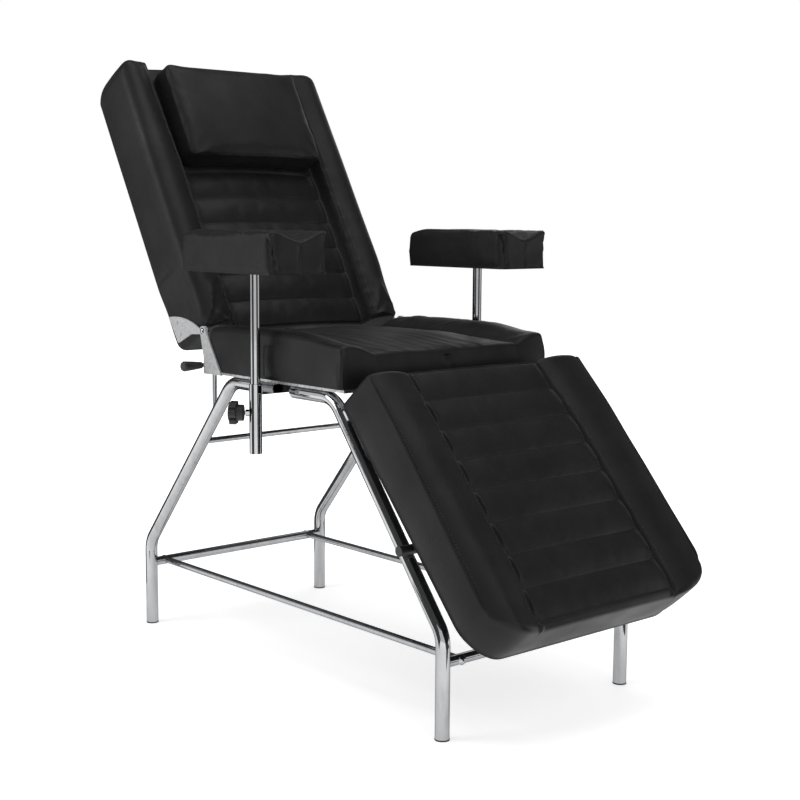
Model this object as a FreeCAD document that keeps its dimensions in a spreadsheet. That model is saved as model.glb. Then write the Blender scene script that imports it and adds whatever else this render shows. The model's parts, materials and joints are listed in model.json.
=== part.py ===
import FreeCAD, Part
import math
import os
import re
import Sketcher

# Tattoo chair. Millimetres and degrees. +X points to the leg rest, +Y to the sitter's left,
# +Z up. The origin lies on the floor in the middle of the four feet.

vec = FreeCAD.Vector
doc = FreeCAD.newDocument("tattoo_chair")
sheet = doc.addObject("Spreadsheet::Sheet", "sizes")

# Driving sizes, one name each
driving = dict(
    # chromed base
    base_length=1091, track=542, tube_od=30, tube_wall=1.5, bend_radius=65,
    bend_height=213, top_height=653, rear_level=174.5, front_level=201, top_run=140,
    cap_floor=3, cap_rim=0.4, cap_plug=19, plug_clearance=0.2,
    crossbar_od=22, crossbar_height=157, side_bar_od=16, side_bar_spread=456,
    side_bolt=8, bolt_clearance=0.1, bolt_head=20, bolt_dome=6, side_bolt_grip=26,
    upper_bar_od=14, upper_bar_drop=153, upper_bar_offset=10,
    stay_od=11, stay_setback=250,
    # seat box
    rail_width=36, rail_thick=8, rail_rear=258, rail_front=226, front_rail_depth=30,
    seat_half=304, seat_rear=228, seat_front=266, skirt_thick=22, skirt_tall=36,
    board_thick=12, board_inset=5, seat_crest=60, seat_edge=38, seat_seam=34,
    seat_mid=40, seat_dip=6, seat_seam_half=213, seat_draw=7,
    plate_screw_head=9, screw_head_tall=1.2,
    # armrests
    arm_place=6, arm_spread=672, beam_depth=50, beam_tall=20, socket_od=28,
    socket_clearance=0.05, socket_long=154, socket_over=1, post_od=22, post_raised=20,
    arm_plate_long=110, arm_plate_wide=64, arm_plate_thick=4, arm_board_thick=10,
    arm_board_inset=9, pad_raised=257, pad_long=340, pad_wide=152, pad_tall=79,
    pad_setback=7, pad_trough=24, pad_seam_half=30, spigot_od=12, spigot_tall=10,
    stud_od=8, stud_clearance=0.2, stud_long=40, nut_across=15, nut_tall=8,
    clamp_drop=63, clamp_angle=45, knob_gap=27, hub_od=36, hub_tall=14,
    disc_od=38, lobe_od=17, lobe_ring=19, disc_tall=15, knob_cap=3,
    # back
    pivot_setback=244, pivot_raised=92, back_angle=60, back_gap=8, back_long=740, back_half=300,
    back_swell=4, back_low=-126, back_crest=18, back_seam=-27, back_mid=-15, back_seam_half=213,
    back_board_thick=12, back_board_inset=12, back_draw=8, back_channels=6,
    channel_deep=7, back_bulge=12,
    pillow_low=449, pillow_long=262, pillow_half=198, pillow_tall=60, pillow_crown=8,
    plate_thick=4, plate_gap=0.3, boss_radius=11, pivot_od=10, pivot_clearance=0.05,
    pivot_head=15, pivot_dome=3.5, pivot_nut=13, pivot_nut_tall=6,
    fan_top_long=95, fan_top_deep=118, fan_low_long=24, fan_low_deep=114, fan_notch=18,
    fan_notch_deep=54, fan_lip=11, fan_lip_deep=14, fan_arc=210,
    side_plate_front=76, side_plate_drop=99, side_plate_rear=4.5, side_plate_waist=60,
    # back lock
    lock_drop=30, lock_rod_od=12, lock_rod_front=60, lock_lead=20, lock_pin_od=8,
    lock_pin_long=44, lock_eye=20, slot_half=7.4, slot_near=88, slot_far=98,
    arm_thick=5, arm_gap=11, arm_margin=8, arm_wall=6, lower_rail_long=50,
    lower_rail_thick=5,
    lower_rail_half=110, housing_od=32, housing_rear=160, housing_long=110,
    housing_clearance=0.1, foot_long=60, foot_wide=34,
    # release lever
    lever_x=247, lever_drop=24, lever_od=10, lever_tip=310, lever_bend=175,
    lever_foot_x=150, lever_foot_y=85, lever_end=20, lever_radius=22,
    grip_long=47, grip_end=4, grip_od=24, grip_neck=15, lever_pin_od=6, lever_pin_rear=5.5,
    lever_pin_y=215, lever_bracket_wide=40, lever_bracket_thick=4, lever_bracket_gap=1.2,
    lever_flange=38,
    # leg rest
    hinge_x=268.5, hinge_drop=18, leg_start=3, leg_long=612, leg_half=313,
    leg_low=7.5, leg_crest=136, leg_edge=120, leg_seam=106, leg_mid=112,
    leg_seam_half=200, leg_corner=88, leg_channels=9, leg_draw=10,
    leg_board_thick=12, leg_board_inset=14, strap_spread=400, strap_thick=5,
    strap_long=95, strap_wide=34, strap_flange=3, knuckle_radius=8, hinge_pin_od=8,
    hinge_pin_head=14, hinge_pin_head_tall=3, hinge_pin_clearance=0.05, strap_gap=0.5,
    stop_along=331.48, stop_under=42.56, stop_bar_od=16, stop_sleeve_od=21, stop_sleeve_long=58,
    stop_reach=306, stop_clearance=0.3, sleeve_clearance=0.05, stop_spread=300,
    stop_plate=5, stop_boss=13, stop_foot=44,
    # leg rest prop
    prop_x=47, prop_drop=18, prop_eye_x=150, prop_eye_low=14, prop_tube_od=24,
    prop_tube_long=205, prop_bar_od=16, prop_bar_long=215, prop_clearance=0.1,
    prop_pin_od=8, prop_cheek=5, prop_flat=12, prop_play=1.3, prop_side_play=0.3,
    prop_shoulder=2, prop_slot_out=8.5, prop_slot_in=0.5, prop_eye_radius=10, prop_run=16,
)
# Places that follow from the driving sizes
derived = dict(
    rear_lean="base_length / 2 - rear_level", front_lean="base_length / 2 - front_level",
    rail_low="top_height + tube_od / 2", skirt_low="rail_low + rail_thick",
    board_low="skirt_low + skirt_tall", upper_bar_height="top_height - upper_bar_drop",
    socket_low="rail_low + socket_over - socket_long", post_low="socket_low + post_raised",
    clamp_height="rail_low - clamp_drop", pad_low="rail_low + pad_raised",
    pivot_x="-pivot_setback", pivot_z="skirt_low + pivot_raised",
    lock_height="board_low - lock_drop", lever_z="board_low - lever_drop",
    hinge_z="rail_low - hinge_drop", prop_z="rail_low - prop_drop",
    # the leg rest hangs at the angle at which its stop bar lies on the front legs
    front_slope="sqrt(front_lean ^ 2 + (top_height - bend_height) ^ 2)",
    stop_gap="tube_od / 2 + stop_sleeve_od / 2 + stop_clearance",
    stop_off="((top_height - bend_height) * (front_level - hinge_x)"
             " + front_lean * (top_height - hinge_z)) / front_slope + stop_gap",
    stop_out="((top_height - bend_height) * stop_along - front_lean * stop_under)"
             " / front_slope",
    stop_down="((top_height - bend_height) * stop_under + front_lean * stop_along)"
              " / front_slope",
    leg_angle="acos(stop_off / sqrt(stop_out ^ 2 + stop_down ^ 2))"
              " - atan(stop_down / stop_out)",
)
for row, (alias, value) in enumerate({**driving, **derived}.items(), start=1):
    sheet.set(f"A{row}", alias)
    sheet.set(f"B{row}", f"={value}" if alias in derived else str(value))
    sheet.setAlias(f"B{row}", alias)
doc.recompute()


def size(alias):
    return float(sheet.get(alias))


def formula(text):
    # writes the sheet's name before each alias in a formula
    return re.sub(r"[a-z][a-z_0-9]*", lambda word: "sizes." + word.group(0)
                  if word.group(0) in {**driving, **derived} else word.group(0), text)


def bind(thing, **formulas):
    for field, text in formulas.items():
        thing.setExpression(field.replace("__", "."), formula(text))
    return thing


def place(thing, x="0", y="0", z="0"):
    bind(thing, Placement__Base__x=x, Placement__Base__y=y, Placement__Base__z=z)
    return thing


def turn(thing, axis, angle):
    # turns a thing about an axis by an angle given as a number or a formula
    thing.Placement = FreeCAD.Placement(thing.Placement.Base, FreeCAD.Rotation(axis, 1))
    thing.setExpression("Placement.Rotation.Angle", formula(angle))
    return thing


across = vec(0, 1, 0)
along = vec(1, 0, 0)
upward = vec(0, 0, 1)
parts = {}


def hold(name, thing):
    # keeps a finished sub-part under its own label
    thing.Label = name
    parts[name] = thing
    return thing


def box(long, wide, tall, x="0", y="0", z="0"):
    block = doc.addObject("Part::Box", "block")
    bind(block, Length=long, Width=wide, Height=tall)
    return place(block, x, y, z)


def rod(radius, length, x="0", y="0", z="0", axis=None, angle="90"):
    # a cylinder along Z, or turned from Z about an axis
    bar = doc.addObject("Part::Cylinder", "bar")
    bind(bar, Radius=radius, Height=length)
    if axis is not None:
        turn(bar, axis, angle)
    return place(bar, x, y, z)


def cross_rod(radius, length, x, y, z):
    # a cylinder along +Y that starts at y
    return rod(radius, length, x, y, z, along, "-90")


def long_rod(radius, length, x, y, z):
    # a cylinder along +X that starts at x
    return rod(radius, length, x, y, z, across, "90")


def cut(base, *tools):
    for tool in tools:
        made = doc.addObject("Part::Cut", "cut")
        made.Base = base
        made.Tool = tool
        base = made
    return base


def join(*pieces):
    made = doc.addObject("Part::MultiFuse", "join")
    made.Shapes = list(pieces)
    return made


def group(*pieces):
    made = doc.addObject("Part::Compound", "group")
    made.Links = list(pieces)
    return made


# Which way a round head points: the axis and angle that turn Z there, and the step
heading = {"+x": (across, "90", "1", "0"), "-x": (across, "-90", "-1", "0"),
           "+y": (along, "-90", "0", "1"), "-y": (along, "90", "0", "-1")}


def dome(radius, tall, x, y, z, toward):
    # a low round head, the slice of a ball that stands on a flat face
    axis, angle, step_x, step_y = heading[toward]
    ball = f"((({radius})^2 + ({tall})^2) / (2 * {tall}))"
    sunk = f"({ball} - {tall})"
    head = doc.addObject("Part::Sphere", "head")
    bind(head, Radius=ball, Angle1=f"asin({sunk} / {ball})")
    turn(head, axis, angle)
    return place(head, f"{x} - {step_x} * {sunk}", f"{y} - {step_y} * {sunk}", z)


probe = doc.addObject("App::FeaturePython", "probe")
probe.addProperty("App::PropertyFloat", "result")


def worked_out(text):
    # the value of a formula now
    probe.setExpression("result", formula(text))
    probe.recompute()
    return probe.result


def plane(body, role):
    return next(item for item in body.Origin.OriginFeatures if item.Role == role)


def sketch_on(body, name, role):
    sketch = body.newObject("Sketcher::SketchObject", name)
    sketch.AttachmentSupport = [(plane(body, role), "")]
    sketch.MapMode = "FlatFace"
    return sketch


def pin_point(sketch, curve, end, across_text, up_text):
    # fixes a point of a sketch to two formulas, or to an axis where one is zero
    for kind, axis_curve, text in (("DistanceX", -2, across_text), ("DistanceY", -1, up_text)):
        if text == "0":
            sketch.addConstraint(Sketcher.Constraint("PointOnObject", curve, end, axis_curve))
        else:
            point = sketch.getPoint(curve, end)
            now = point.x if kind == "DistanceX" else point.y
            index = sketch.addConstraint(Sketcher.Constraint(kind, -1, 1, curve, end, now))
            sketch.setExpression(f"Constraints[{index}]", formula(text))


def route(sketch, corners, radius_name):
    # a path through corners (across, up, formula, formula), rounded at each inner corner
    radius = size(radius_name)
    points = [vec(corner[0], corner[1], 0) for corner in corners]
    starts, ends, arcs = [points[0]], [], []
    for before, here, after in zip(points, points[1:], points[2:]):
        back = (before - here).normalize()
        ahead = (after - here).normalize()
        half = math.acos(back.dot(ahead)) / 2
        middle = here + (back + ahead).normalize() * (radius / math.sin(half))
        ends.append(here + back * (radius / math.tan(half)))
        starts.append(here + ahead * (radius / math.tan(half)))
        crown = middle + (here - middle).normalize() * radius
        leftward = back.cross(ahead).z < 0
        first, last = (ends[-1], starts[-1]) if leftward else (starts[-1], ends[-1])
        arcs.append(Part.Arc(first, crown, last))
    ends.append(points[-1])
    runs = [sketch.addGeometry(Part.LineSegment(a, b), False) for a, b in zip(starts, ends)]
    bends = [sketch.addGeometry(arc, False) for arc in arcs]
    guides = [sketch.addGeometry(Part.LineSegment(a, b), True)
              for a, b in zip(points, points[1:])]
    add = sketch.addConstraint
    for first, second in zip(guides, guides[1:]):
        add(Sketcher.Constraint("Coincident", first, 2, second, 1))
    for guide, corner in zip(guides, corners):
        pin_point(sketch, guide, 1, corner[2], corner[3])
    pin_point(sketch, guides[-1], 2, corners[-1][2], corners[-1][3])
    add(Sketcher.Constraint("Coincident", runs[0], 1, guides[0], 1))
    add(Sketcher.Constraint("Coincident", runs[-1], 2, guides[-1], 2))
    for number, run in enumerate(runs):
        if number > 0:
            add(Sketcher.Constraint("PointOnObject", run, 1, guides[number]))
        if number < len(runs) - 1:
            add(Sketcher.Constraint("PointOnObject", run, 2, guides[number]))
    for number, bend in enumerate(bends):
        arc = sketch.Geometry[bend]
        forward = (arc.StartPoint - ends[number]).Length < (arc.EndPoint - ends[number]).Length
        entry, leave = (1, 2) if forward else (2, 1)
        add(Sketcher.Constraint("Tangent", runs[number], 2, bend, entry))
        add(Sketcher.Constraint("Tangent", bend, leave, runs[number + 1], 1))
        index = add(Sketcher.Constraint("Radius", bend, radius))
        sketch.setExpression(f"Constraints[{index}]", formula(radius_name))


def circle_sketch(body, name, role, radius):
    sketch = sketch_on(body, name, role)
    now = worked_out(radius)
    curve = sketch.addGeometry(Part.Circle(vec(0, 0, 0), upward, now), False)
    sketch.addConstraint(Sketcher.Constraint("Coincident", curve, 3, -1, 1))
    index = sketch.addConstraint(Sketcher.Constraint("Radius", curve, now))
    sketch.setExpression(f"Constraints[{index}]", formula(radius))
    return sketch


def pipe_body(name, corners, radius_name, ring_role, path_role, outer, inner=None):
    # a bent rod, or a bent tube where an inner radius is given
    body = doc.addObject("PartDesign::Body", name)
    path = sketch_on(body, name + "_path", path_role)
    route(path, corners, radius_name)
    for kind, radius in (("AdditivePipe", outer), ("SubtractivePipe", inner)):
        if radius is not None:
            circle = circle_sketch(body, f"{name}_{kind}_circle", ring_role, radius)
            pipe = body.newObject("PartDesign::" + kind, f"{name}_{kind}")
            pipe.Profile = circle
            pipe.Spine = path
    return body


def outline(sketch, corners, arc_after=None, arc_name=None):
    # a closed outline through corners given as pairs of formulas with their values
    points = [vec(corner[0], corner[1], 0) for corner in corners]
    curves = []
    for number, here in enumerate(points):
        after = points[(number + 1) % len(points)]
        if number == arc_after:
            radius = size(arc_name)
            half = (after - here).Length / 2
            side = upward.cross((after - here).normalize())
            rise = math.sqrt(radius ** 2 - half ** 2)
            middle = (here + after) * 0.5 - side * rise
            curve = Part.Arc(here, middle + side * radius, after)
            curves.append(sketch.addGeometry(curve, False))
            index = sketch.addConstraint(Sketcher.Constraint("Radius", curves[-1], radius))
            sketch.setExpression(f"Constraints[{index}]", formula(arc_name))
        else:
            curves.append(sketch.addGeometry(Part.LineSegment(here, after), False))
    meets = []
    for number, curve in enumerate(curves):
        start = sketch.getPoint(curve, 1)
        finish = sketch.getPoint(curve, 2)
        forward = (start - points[number]).Length < (finish - points[number]).Length
        meets.append((curve, 1, 2) if forward else (curve, 2, 1))
    for number, (curve, first, last) in enumerate(meets):
        following = meets[(number + 1) % len(meets)]
        sketch.addConstraint(Sketcher.Constraint("Coincident", curve, last,
                                                 following[0], following[1]))
        pin_point(sketch, curve, first, corners[number][2], corners[number][3])


def point_list(*pairs):
    # corners as values and formulas
    return [[worked_out(pair[0]), worked_out(pair[1]), pair[0], pair[1]] for pair in pairs]


def plate_body(name, corners, thick, arc_after=None, arc_name=None):
    # a flat plate drawn in the XZ plane, its thickness along -Y from its own zero
    body = doc.addObject("PartDesign::Body", name)
    sketch = sketch_on(body, name + "_outline", "XZ_Plane")
    outline(sketch, corners, arc_after, arc_name)
    pad = body.newObject("PartDesign::Pad", name + "_pad")
    pad.Profile = sketch
    pad.setExpression("Length", formula(thick))
    return body


def on_back(*things):
    # moves things drawn for the flat back to the pivot and tilts them
    moved = group(*things)
    turn(moved, across, "back_angle")
    return place(moved, "pivot_x", "0", "pivot_z")


def on_leg_rest(*things):
    # moves things drawn for the level leg rest to its hinge and tilts them
    moved = group(*things)
    turn(moved, across, "leg_angle")
    return place(moved, "hinge_x", "0", "hinge_z")


back_seat = FreeCAD.Placement(vec(size("pivot_x"), 0, size("pivot_z")),
                              FreeCAD.Rotation(across, size("back_angle")))
leg_seat = FreeCAD.Placement(vec(size("hinge_x"), 0, size("hinge_z")),
                             FreeCAD.Rotation(across, size("leg_angle")))
sides = (("right", "-1"), ("left", "1"))


def outward(side):
    return "+y" if side == "1" else "-y"


def slab_start(side, near, wide):
    # where a slab starts along Y when it spans outward from a distance off the middle
    return f"({near})" if side == "1" else f"-({near}) - ({wide})"


# Legs: each a bent tube, upright at the foot, leaning in, level under the seat
def make_leg(name, lean_name, facing, side):
    corners = point_list(
        ("0", "0"), ("0", "bend_height - cap_floor"),
        (lean_name, "top_height - cap_floor"),
        (f"{lean_name} + top_run", "top_height - cap_floor"))
    leg = pipe_body(name, corners, "bend_radius", "XY_Plane", "XZ_Plane",
                    "tube_od / 2", "tube_od / 2 - tube_wall")
    turn(leg, upward, "0" if facing == "1" else "180")
    place(leg, f"-{facing} * base_length / 2", f"{side} * track / 2", "cap_floor")
    return hold(name, leg)


for side_name, side in sides:
    make_leg("rear_leg_" + side_name, "rear_lean", "1", side)
    make_leg("front_leg_" + side_name, "front_lean", "-1", side)


# Foot caps: a rim under the tube and a plug inside it
def foot_cap(end, side):
    spot = (f"{end} * base_length / 2", f"{side} * track / 2")
    rim = rod("tube_od / 2 + cap_rim", "cap_floor", *spot, "0")
    plug = rod("tube_od / 2 - tube_wall - plug_clearance", "cap_floor + cap_plug", *spot, "0")
    return join(rim, plug)


hold("foot_caps", group(*[foot_cap(end, side) for end in ("-1", "1") for _, side in sides]))


# Lower crossbars: tubes shaped to the legs, drilled for the side bar bolts
def leg_cutter(end, side):
    return rod("tube_od / 2", "bend_height", f"{end} * base_length / 2",
               f"{side} * track / 2", "0")


def crossbar_tube(end, radius, overrun="0"):
    return cross_rod(radius, f"track + 2 * ({overrun})", f"{end} * base_length / 2",
                     f"-track / 2 - ({overrun})", "crossbar_height")


def bolt_hole(end, side):
    start = f"{end} * base_length / 2 - crossbar_od"
    return long_rod("side_bolt / 2 + bolt_clearance", "2 * crossbar_od", start,
                    f"{side} * side_bar_spread / 2", "crossbar_height")


for bar_name, end in (("rear_lower_crossbar", "-1"), ("front_lower_crossbar", "1")):
    bore = crossbar_tube(end, "crossbar_od / 2 - tube_wall", "tube_od")
    hold(bar_name, cut(crossbar_tube(end, "crossbar_od / 2"), bore,
                       leg_cutter(end, "-1"), leg_cutter(end, "1"),
                       bolt_hole(end, "-1"), bolt_hole(end, "1")))


# Side bars: rods between the crossbars with a threaded bore in each end
def end_bore(end, side):
    reach = "crossbar_od / 2 + side_bolt_grip + bolt_clearance"
    start = "-base_length / 2" if end == "-1" else f"base_length / 2 - ({reach})"
    return long_rod("side_bolt / 2 + bolt_clearance", reach, start,
                    f"{side} * side_bar_spread / 2", "crossbar_height")


for side_name, side in sides:
    bar = long_rod("side_bar_od / 2", "base_length", "-base_length / 2",
                   f"{side} * side_bar_spread / 2", "crossbar_height")
    hold("side_bar_" + side_name, cut(
        bar, crossbar_tube("-1", "crossbar_od / 2"), crossbar_tube("1", "crossbar_od / 2"),
        end_bore("-1", side), end_bore("1", side)))


def side_bolt_at(end, side):
    spot = (f"{side} * side_bar_spread / 2", "crossbar_height")
    seat = f"{end} * (base_length / 2 + crossbar_od / 2)"
    reach = "crossbar_od + side_bolt_grip"
    start = seat if end == "-1" else f"{seat} - ({reach})"
    shank = long_rod("side_bolt / 2", reach, start, *spot)
    head = dome("bolt_head / 2", "bolt_dome", seat, *spot, "-x" if end == "-1" else "+x")
    return join(shank, head)


hold("side_bar_bolts", group(*[side_bolt_at(end, side)
                               for end in ("-1", "1") for _, side in sides]))


# Thin upper crossbar between the leaning rear legs
lean_angle = "atan(rear_lean / (top_height - bend_height))"
lean_share = "(rear_lean / (top_height - bend_height))"


def lean_cutter(side):
    return rod("tube_od / 2", "top_height", "-base_length / 2", f"{side} * track / 2",
               "bend_height", across, lean_angle)


upper_x = (f"-base_length / 2 + {lean_share} * (upper_bar_height - bend_height)"
           " + upper_bar_offset")
upper_bar = cross_rod("upper_bar_od / 2", "track", upper_x, "-track / 2", "upper_bar_height")
hold("rear_upper_crossbar", cut(upper_bar, lean_cutter("-1"), lean_cutter("1")))

# Stays: short uprights from the leaning legs to the seat rails
stays = []
for side_name, side in sides:
    foot = f"(bend_height + (base_length / 2 - stay_setback) / {lean_share})"
    stay = rod("stay_od / 2", f"top_height + tube_od / 2 - {foot}", "-stay_setback",
               f"{side} * track / 2", foot)
    stays.append(cut(stay, lean_cutter(side)))
hold("rear_stays", group(*stays))

# Seat rails: flat bars lying on the leg tubes, and a front bar between them
front_rail = box("front_rail_depth", "track - rail_width", "rail_thick", "rail_front",
                 "-(track - rail_width) / 2", "rail_low")
hold("seat_rails", group(front_rail, *[
    box("rail_rear + rail_front + front_rail_depth", "rail_width", "rail_thick",
        "-rail_rear", f"{side} * track / 2 - rail_width / 2", "rail_low")
    for _, side in sides]))

# Armrest crossbar: a flat beam under the rails, shaped to the two sockets
beam = box("beam_depth", "arm_spread", "beam_tall", "arm_place - beam_depth / 2",
           "-arm_spread / 2", "rail_low - beam_tall")
beam_bore = box("beam_depth - 2 * tube_wall", "arm_spread", "beam_tall - 2 * tube_wall",
                "arm_place - beam_depth / 2 + tube_wall", "-arm_spread / 2",
                "rail_low - beam_tall + tube_wall")


def socket_solid(side, radius):
    return rod(radius, "socket_long", "arm_place",
               f"{side} * arm_spread / 2", "socket_low")


hold("armrest_crossbar", cut(beam, beam_bore, socket_solid("-1", "socket_od / 2"),
                             socket_solid("1", "socket_od / 2")))


# Sockets, weld nuts, studs and star knobs; the clamps point rearward and outward
def clamp_rod(side, radius, length, start):
    # a cylinder along the clamp's axis, from a distance off the socket's axis
    bar = rod(radius, length)
    way = FreeCAD.Rotation(upward, float(side) * (180 - size("clamp_angle")))
    bar.Placement = FreeCAD.Placement(vec(0, 0, 0), way * FreeCAD.Rotation(across, 90))
    reach = f"({start})"
    return place(bar, f"arm_place - {reach} * cos(clamp_angle)",
                 f"{side} * (arm_spread / 2 + {reach} * sin(clamp_angle))", "clamp_height")


def clamp_offset(side, piece, start, sideways="0", lift="0"):
    reach = f"({start})"
    return place(piece,
                 f"arm_place - {reach} * cos(clamp_angle) - ({sideways}) * sin(clamp_angle)",
                 f"{side} * (arm_spread / 2 + {reach} * sin(clamp_angle)"
                 f" - ({sideways}) * cos(clamp_angle))",
                 f"clamp_height + ({lift})")


nuts = []
for side_name, side in sides:
    hold("armrest_socket_" + side_name, cut(
        socket_solid(side, "socket_od / 2"),
        socket_solid(side, "post_od / 2 + socket_clearance"),
        clamp_rod(side, "stud_od / 2 + stud_clearance", "socket_od", "0")))
    nut = doc.addObject("Part::Prism", "nut")
    nut.Polygon = 6
    bind(nut, Circumradius="nut_across / 2", Height="nut_tall + socket_od / 4")
    nut.Placement = clamp_rod(side, "stud_od", "stud_od", "0").Placement
    clamp_offset(side, nut, "socket_od / 4")
    nuts.append(cut(nut, clamp_rod(side, "stud_od / 2 + stud_clearance", "stud_long", "0"),
                    socket_solid(side, "socket_od / 2")))
    stud = clamp_rod(side, "stud_od / 2", "stud_long - post_od / 2 - stud_clearance",
                     "post_od / 2 + stud_clearance")
    hub = clamp_rod(side, "hub_od / 2", "hub_tall", "knob_gap")
    disc = clamp_rod(side, "disc_od / 2", "disc_tall", "knob_gap + hub_tall")
    crown_cap = clamp_rod(side, "hub_od / 2", "knob_cap", "knob_gap + hub_tall + disc_tall")
    lobes = []
    for step in range(6):
        lobe = clamp_rod(side, "lobe_od / 2", "disc_tall", "0")
        clamp_offset(side, lobe, "knob_gap + hub_tall", f"lobe_ring * cos({step * 60})",
                     f"lobe_ring * sin({step * 60})")
        lobes.append(lobe)
    bore = clamp_rod(side, "stud_od / 2", "stud_long", "0")
    knob = cut(join(hub, disc, crown_cap, *lobes), bore)
    hold("star_knob_" + side_name, group(knob, stud))
hold("socket_nuts", group(*nuts))


# Cushion sections: sides pulled in at the foot, a bolster each side, a crowned middle
def cushion_wire(x, half, seam, low, edge, crest, seam_top, middle, draw, hollow=None):
    def spot(y, z):
        return vec(x, y, z)

    def bow(first, through, last):
        return Part.Arc(spot(*first), spot(*through), spot(*last)).toShape()

    waist = (low + edge) / 2
    flattest = half / 1000
    if abs(middle - seam_top) < flattest:
        middle = seam_top + flattest
    foot, rim, dip = (half - draw, low), (half, edge), (seam, seam_top)
    ridge = ((half + seam) / 2, crest)
    mirrored = [(-y, z) for y, z in (foot, rim, dip, ridge)]
    floor = (Part.LineSegment(spot(*mirrored[0]), spot(*foot)).toShape() if hollow is None
             else bow(mirrored[0], (0, hollow), foot))
    edges = [
        floor,
        bow(foot, (half - draw / 4, waist), rim),
        bow(rim, ridge, dip),
        bow(dip, (0, middle), mirrored[2]),
        bow(mirrored[2], mirrored[3], mirrored[1]),
        bow(mirrored[1], (-(half - draw / 4), waist), mirrored[0]),
    ]
    return Part.Wire(edges)


def loft(wires):
    return Part.makeLoft(wires, True, True)


# How high a channel stands along its length: low at the seams, full in the middle
channel_places_share = (0.0, 0.2, 0.5, 0.8)
channel_heights_share = (0.0, 0.75, 1.0, 0.75)


def channel_stations(start, length, count):
    # places along a channelled panel with the share of the channel's depth at each
    pitch = length / count
    stations = []
    for number in range(count):
        for place_share, height_share in zip(channel_places_share, channel_heights_share):
            stations.append((start + (number + place_share) * pitch, height_share))
    stations.append((start + length, 0.0))
    return stations


def round_off(distance, radius):
    # how far a round corner of this radius draws back at a distance from its end
    if distance >= radius:
        return 0.0
    return radius - math.sqrt(radius ** 2 - (radius - distance) ** 2)


def feature(name, shape, placement=None):
    made = doc.addObject("Part::Feature", name)
    made.Shape = shape
    if placement is not None:
        made.Placement = placement
    return hold(name, made)


# Seat: skirts and board make a box, the cushion lies on it
hold("seat_side_skirts", group(*[
    box("seat_rear + seat_front", "skirt_thick", "skirt_tall", "-seat_rear",
        slab_start(side, "seat_half - skirt_thick", "skirt_thick"), "skirt_low")
    for _, side in sides]))
hold("seat_front_skirt",
     box("skirt_thick", "2 * (seat_half - skirt_thick)", "skirt_tall",
         "seat_front - skirt_thick", "-(seat_half - skirt_thick)", "skirt_low"))
hold("seat_board",
     box("seat_rear + seat_front - 2 * board_inset", "2 * (seat_half - board_inset)",
         "board_thick", "-seat_rear + board_inset", "-(seat_half - board_inset)",
         "board_low"))

seat_top = size("board_low") + size("board_thick")
seat_long = size("seat_rear") + size("seat_front")
seat_stations_share = (0.0, 0.03, 0.1, 0.3, 0.55, 0.75, 0.88, 0.95, 0.985, 1.0)
seat_rise_share = (0.80, 0.93, 1.0, 1.0, 1.0, 1.0, 1.0, 0.98, 0.93, 0.80)
seat_front_dip_share = (0.0, 0.0, 0.0, 0.0, 0.1, 0.4, 0.75, 1.0, 1.1, 1.0)


def seat_wire(station, rise, dip):
    drop = size("seat_dip") * dip
    return cushion_wire(
        -size("seat_rear") + station * seat_long,
        size("seat_half") - size("seat_draw") * (1 - rise) * 2,
        size("seat_seam_half"), seat_top, seat_top + size("seat_edge") * rise,
        seat_top + size("seat_crest") * rise,
        seat_top + size("seat_seam") * rise - drop,
        seat_top + size("seat_mid") * rise - drop * 2,
        size("seat_draw") / 2)


feature("seat_cushion", loft([seat_wire(*row) for row in zip(
    seat_stations_share, seat_rise_share, seat_front_dip_share)]))


# Grey hinge plates on the seat's sides and on the back's sides
side_plate_corners = (
    ("-boss_radius * 0.85", "-boss_radius * 0.5"), ("boss_radius * 0.8", "boss_radius * 0.6"),
    ("side_plate_front", "-side_plate_drop + boss_radius / 15"),
    ("side_plate_rear", "-side_plate_drop"), ("side_plate_rear", "-side_plate_waist"))
fan_corners = (
    ("boss_radius * 0.35", "-boss_radius * 0.9"), ("-fan_notch", "-fan_notch_deep"),
    ("-fan_low_long", "-fan_low_deep"), ("-fan_top_long", "-fan_top_deep"),
    ("-fan_lip", "-fan_lip_deep"))


def hinge_plate(name, corners, inner, side, **arcs):
    # the plate's own zero is its outer face on the right side, its inner on the left
    sheet_plate = plate_body(name + "_sheet", point_list(*corners), "plate_thick", **arcs)
    place(sheet_plate, "0", f"{inner} + plate_thick" if side == "1" else f"-({inner})", "0")
    start = inner if side == "1" else f"-({inner}) - plate_thick"
    boss = cross_rod("boss_radius", "plate_thick", "0", start, "0")
    hole = cross_rod("pivot_od / 2 + pivot_clearance", "3 * plate_thick", "0",
                     f"{start} - plate_thick", "0")
    return cut(join(sheet_plate, boss), hole)


for side_name, side in sides:
    seat_plate = hinge_plate("seat_hinge_plate_" + side_name, side_plate_corners,
                             "back_half + plate_thick + plate_gap", side)
    place(seat_plate, "pivot_x", "0", "pivot_z")
    hold("seat_hinge_plate_" + side_name, seat_plate)
    back_plate = hinge_plate("back_hinge_plate_" + side_name, fan_corners, "back_half",
                             side, arc_after=3, arc_name="fan_arc")
    hold("back_hinge_plate_" + side_name, on_back(back_plate))


def pivot_bolt(side):
    outer = "(back_half + 2 * plate_thick + plate_gap)"
    inner = "(back_half - pivot_nut_tall - plate_gap)"
    start = inner if side == "1" else f"-{outer}"
    shank = cross_rod("pivot_od / 2", f"{outer} - {inner}", "pivot_x", start, "pivot_z")
    head = dome("pivot_head / 2", "pivot_dome", "pivot_x", f"{side} * {outer}", "pivot_z",
                outward(side))
    nut_start = inner if side == "1" else f"-{inner} - pivot_nut_tall"
    nut = cross_rod("pivot_nut / 2", "pivot_nut_tall", "pivot_x", nut_start, "pivot_z")
    return join(shank, head, nut)


hold("back_pivot_bolts", group(pivot_bolt("-1"), pivot_bolt("1")))


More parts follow.
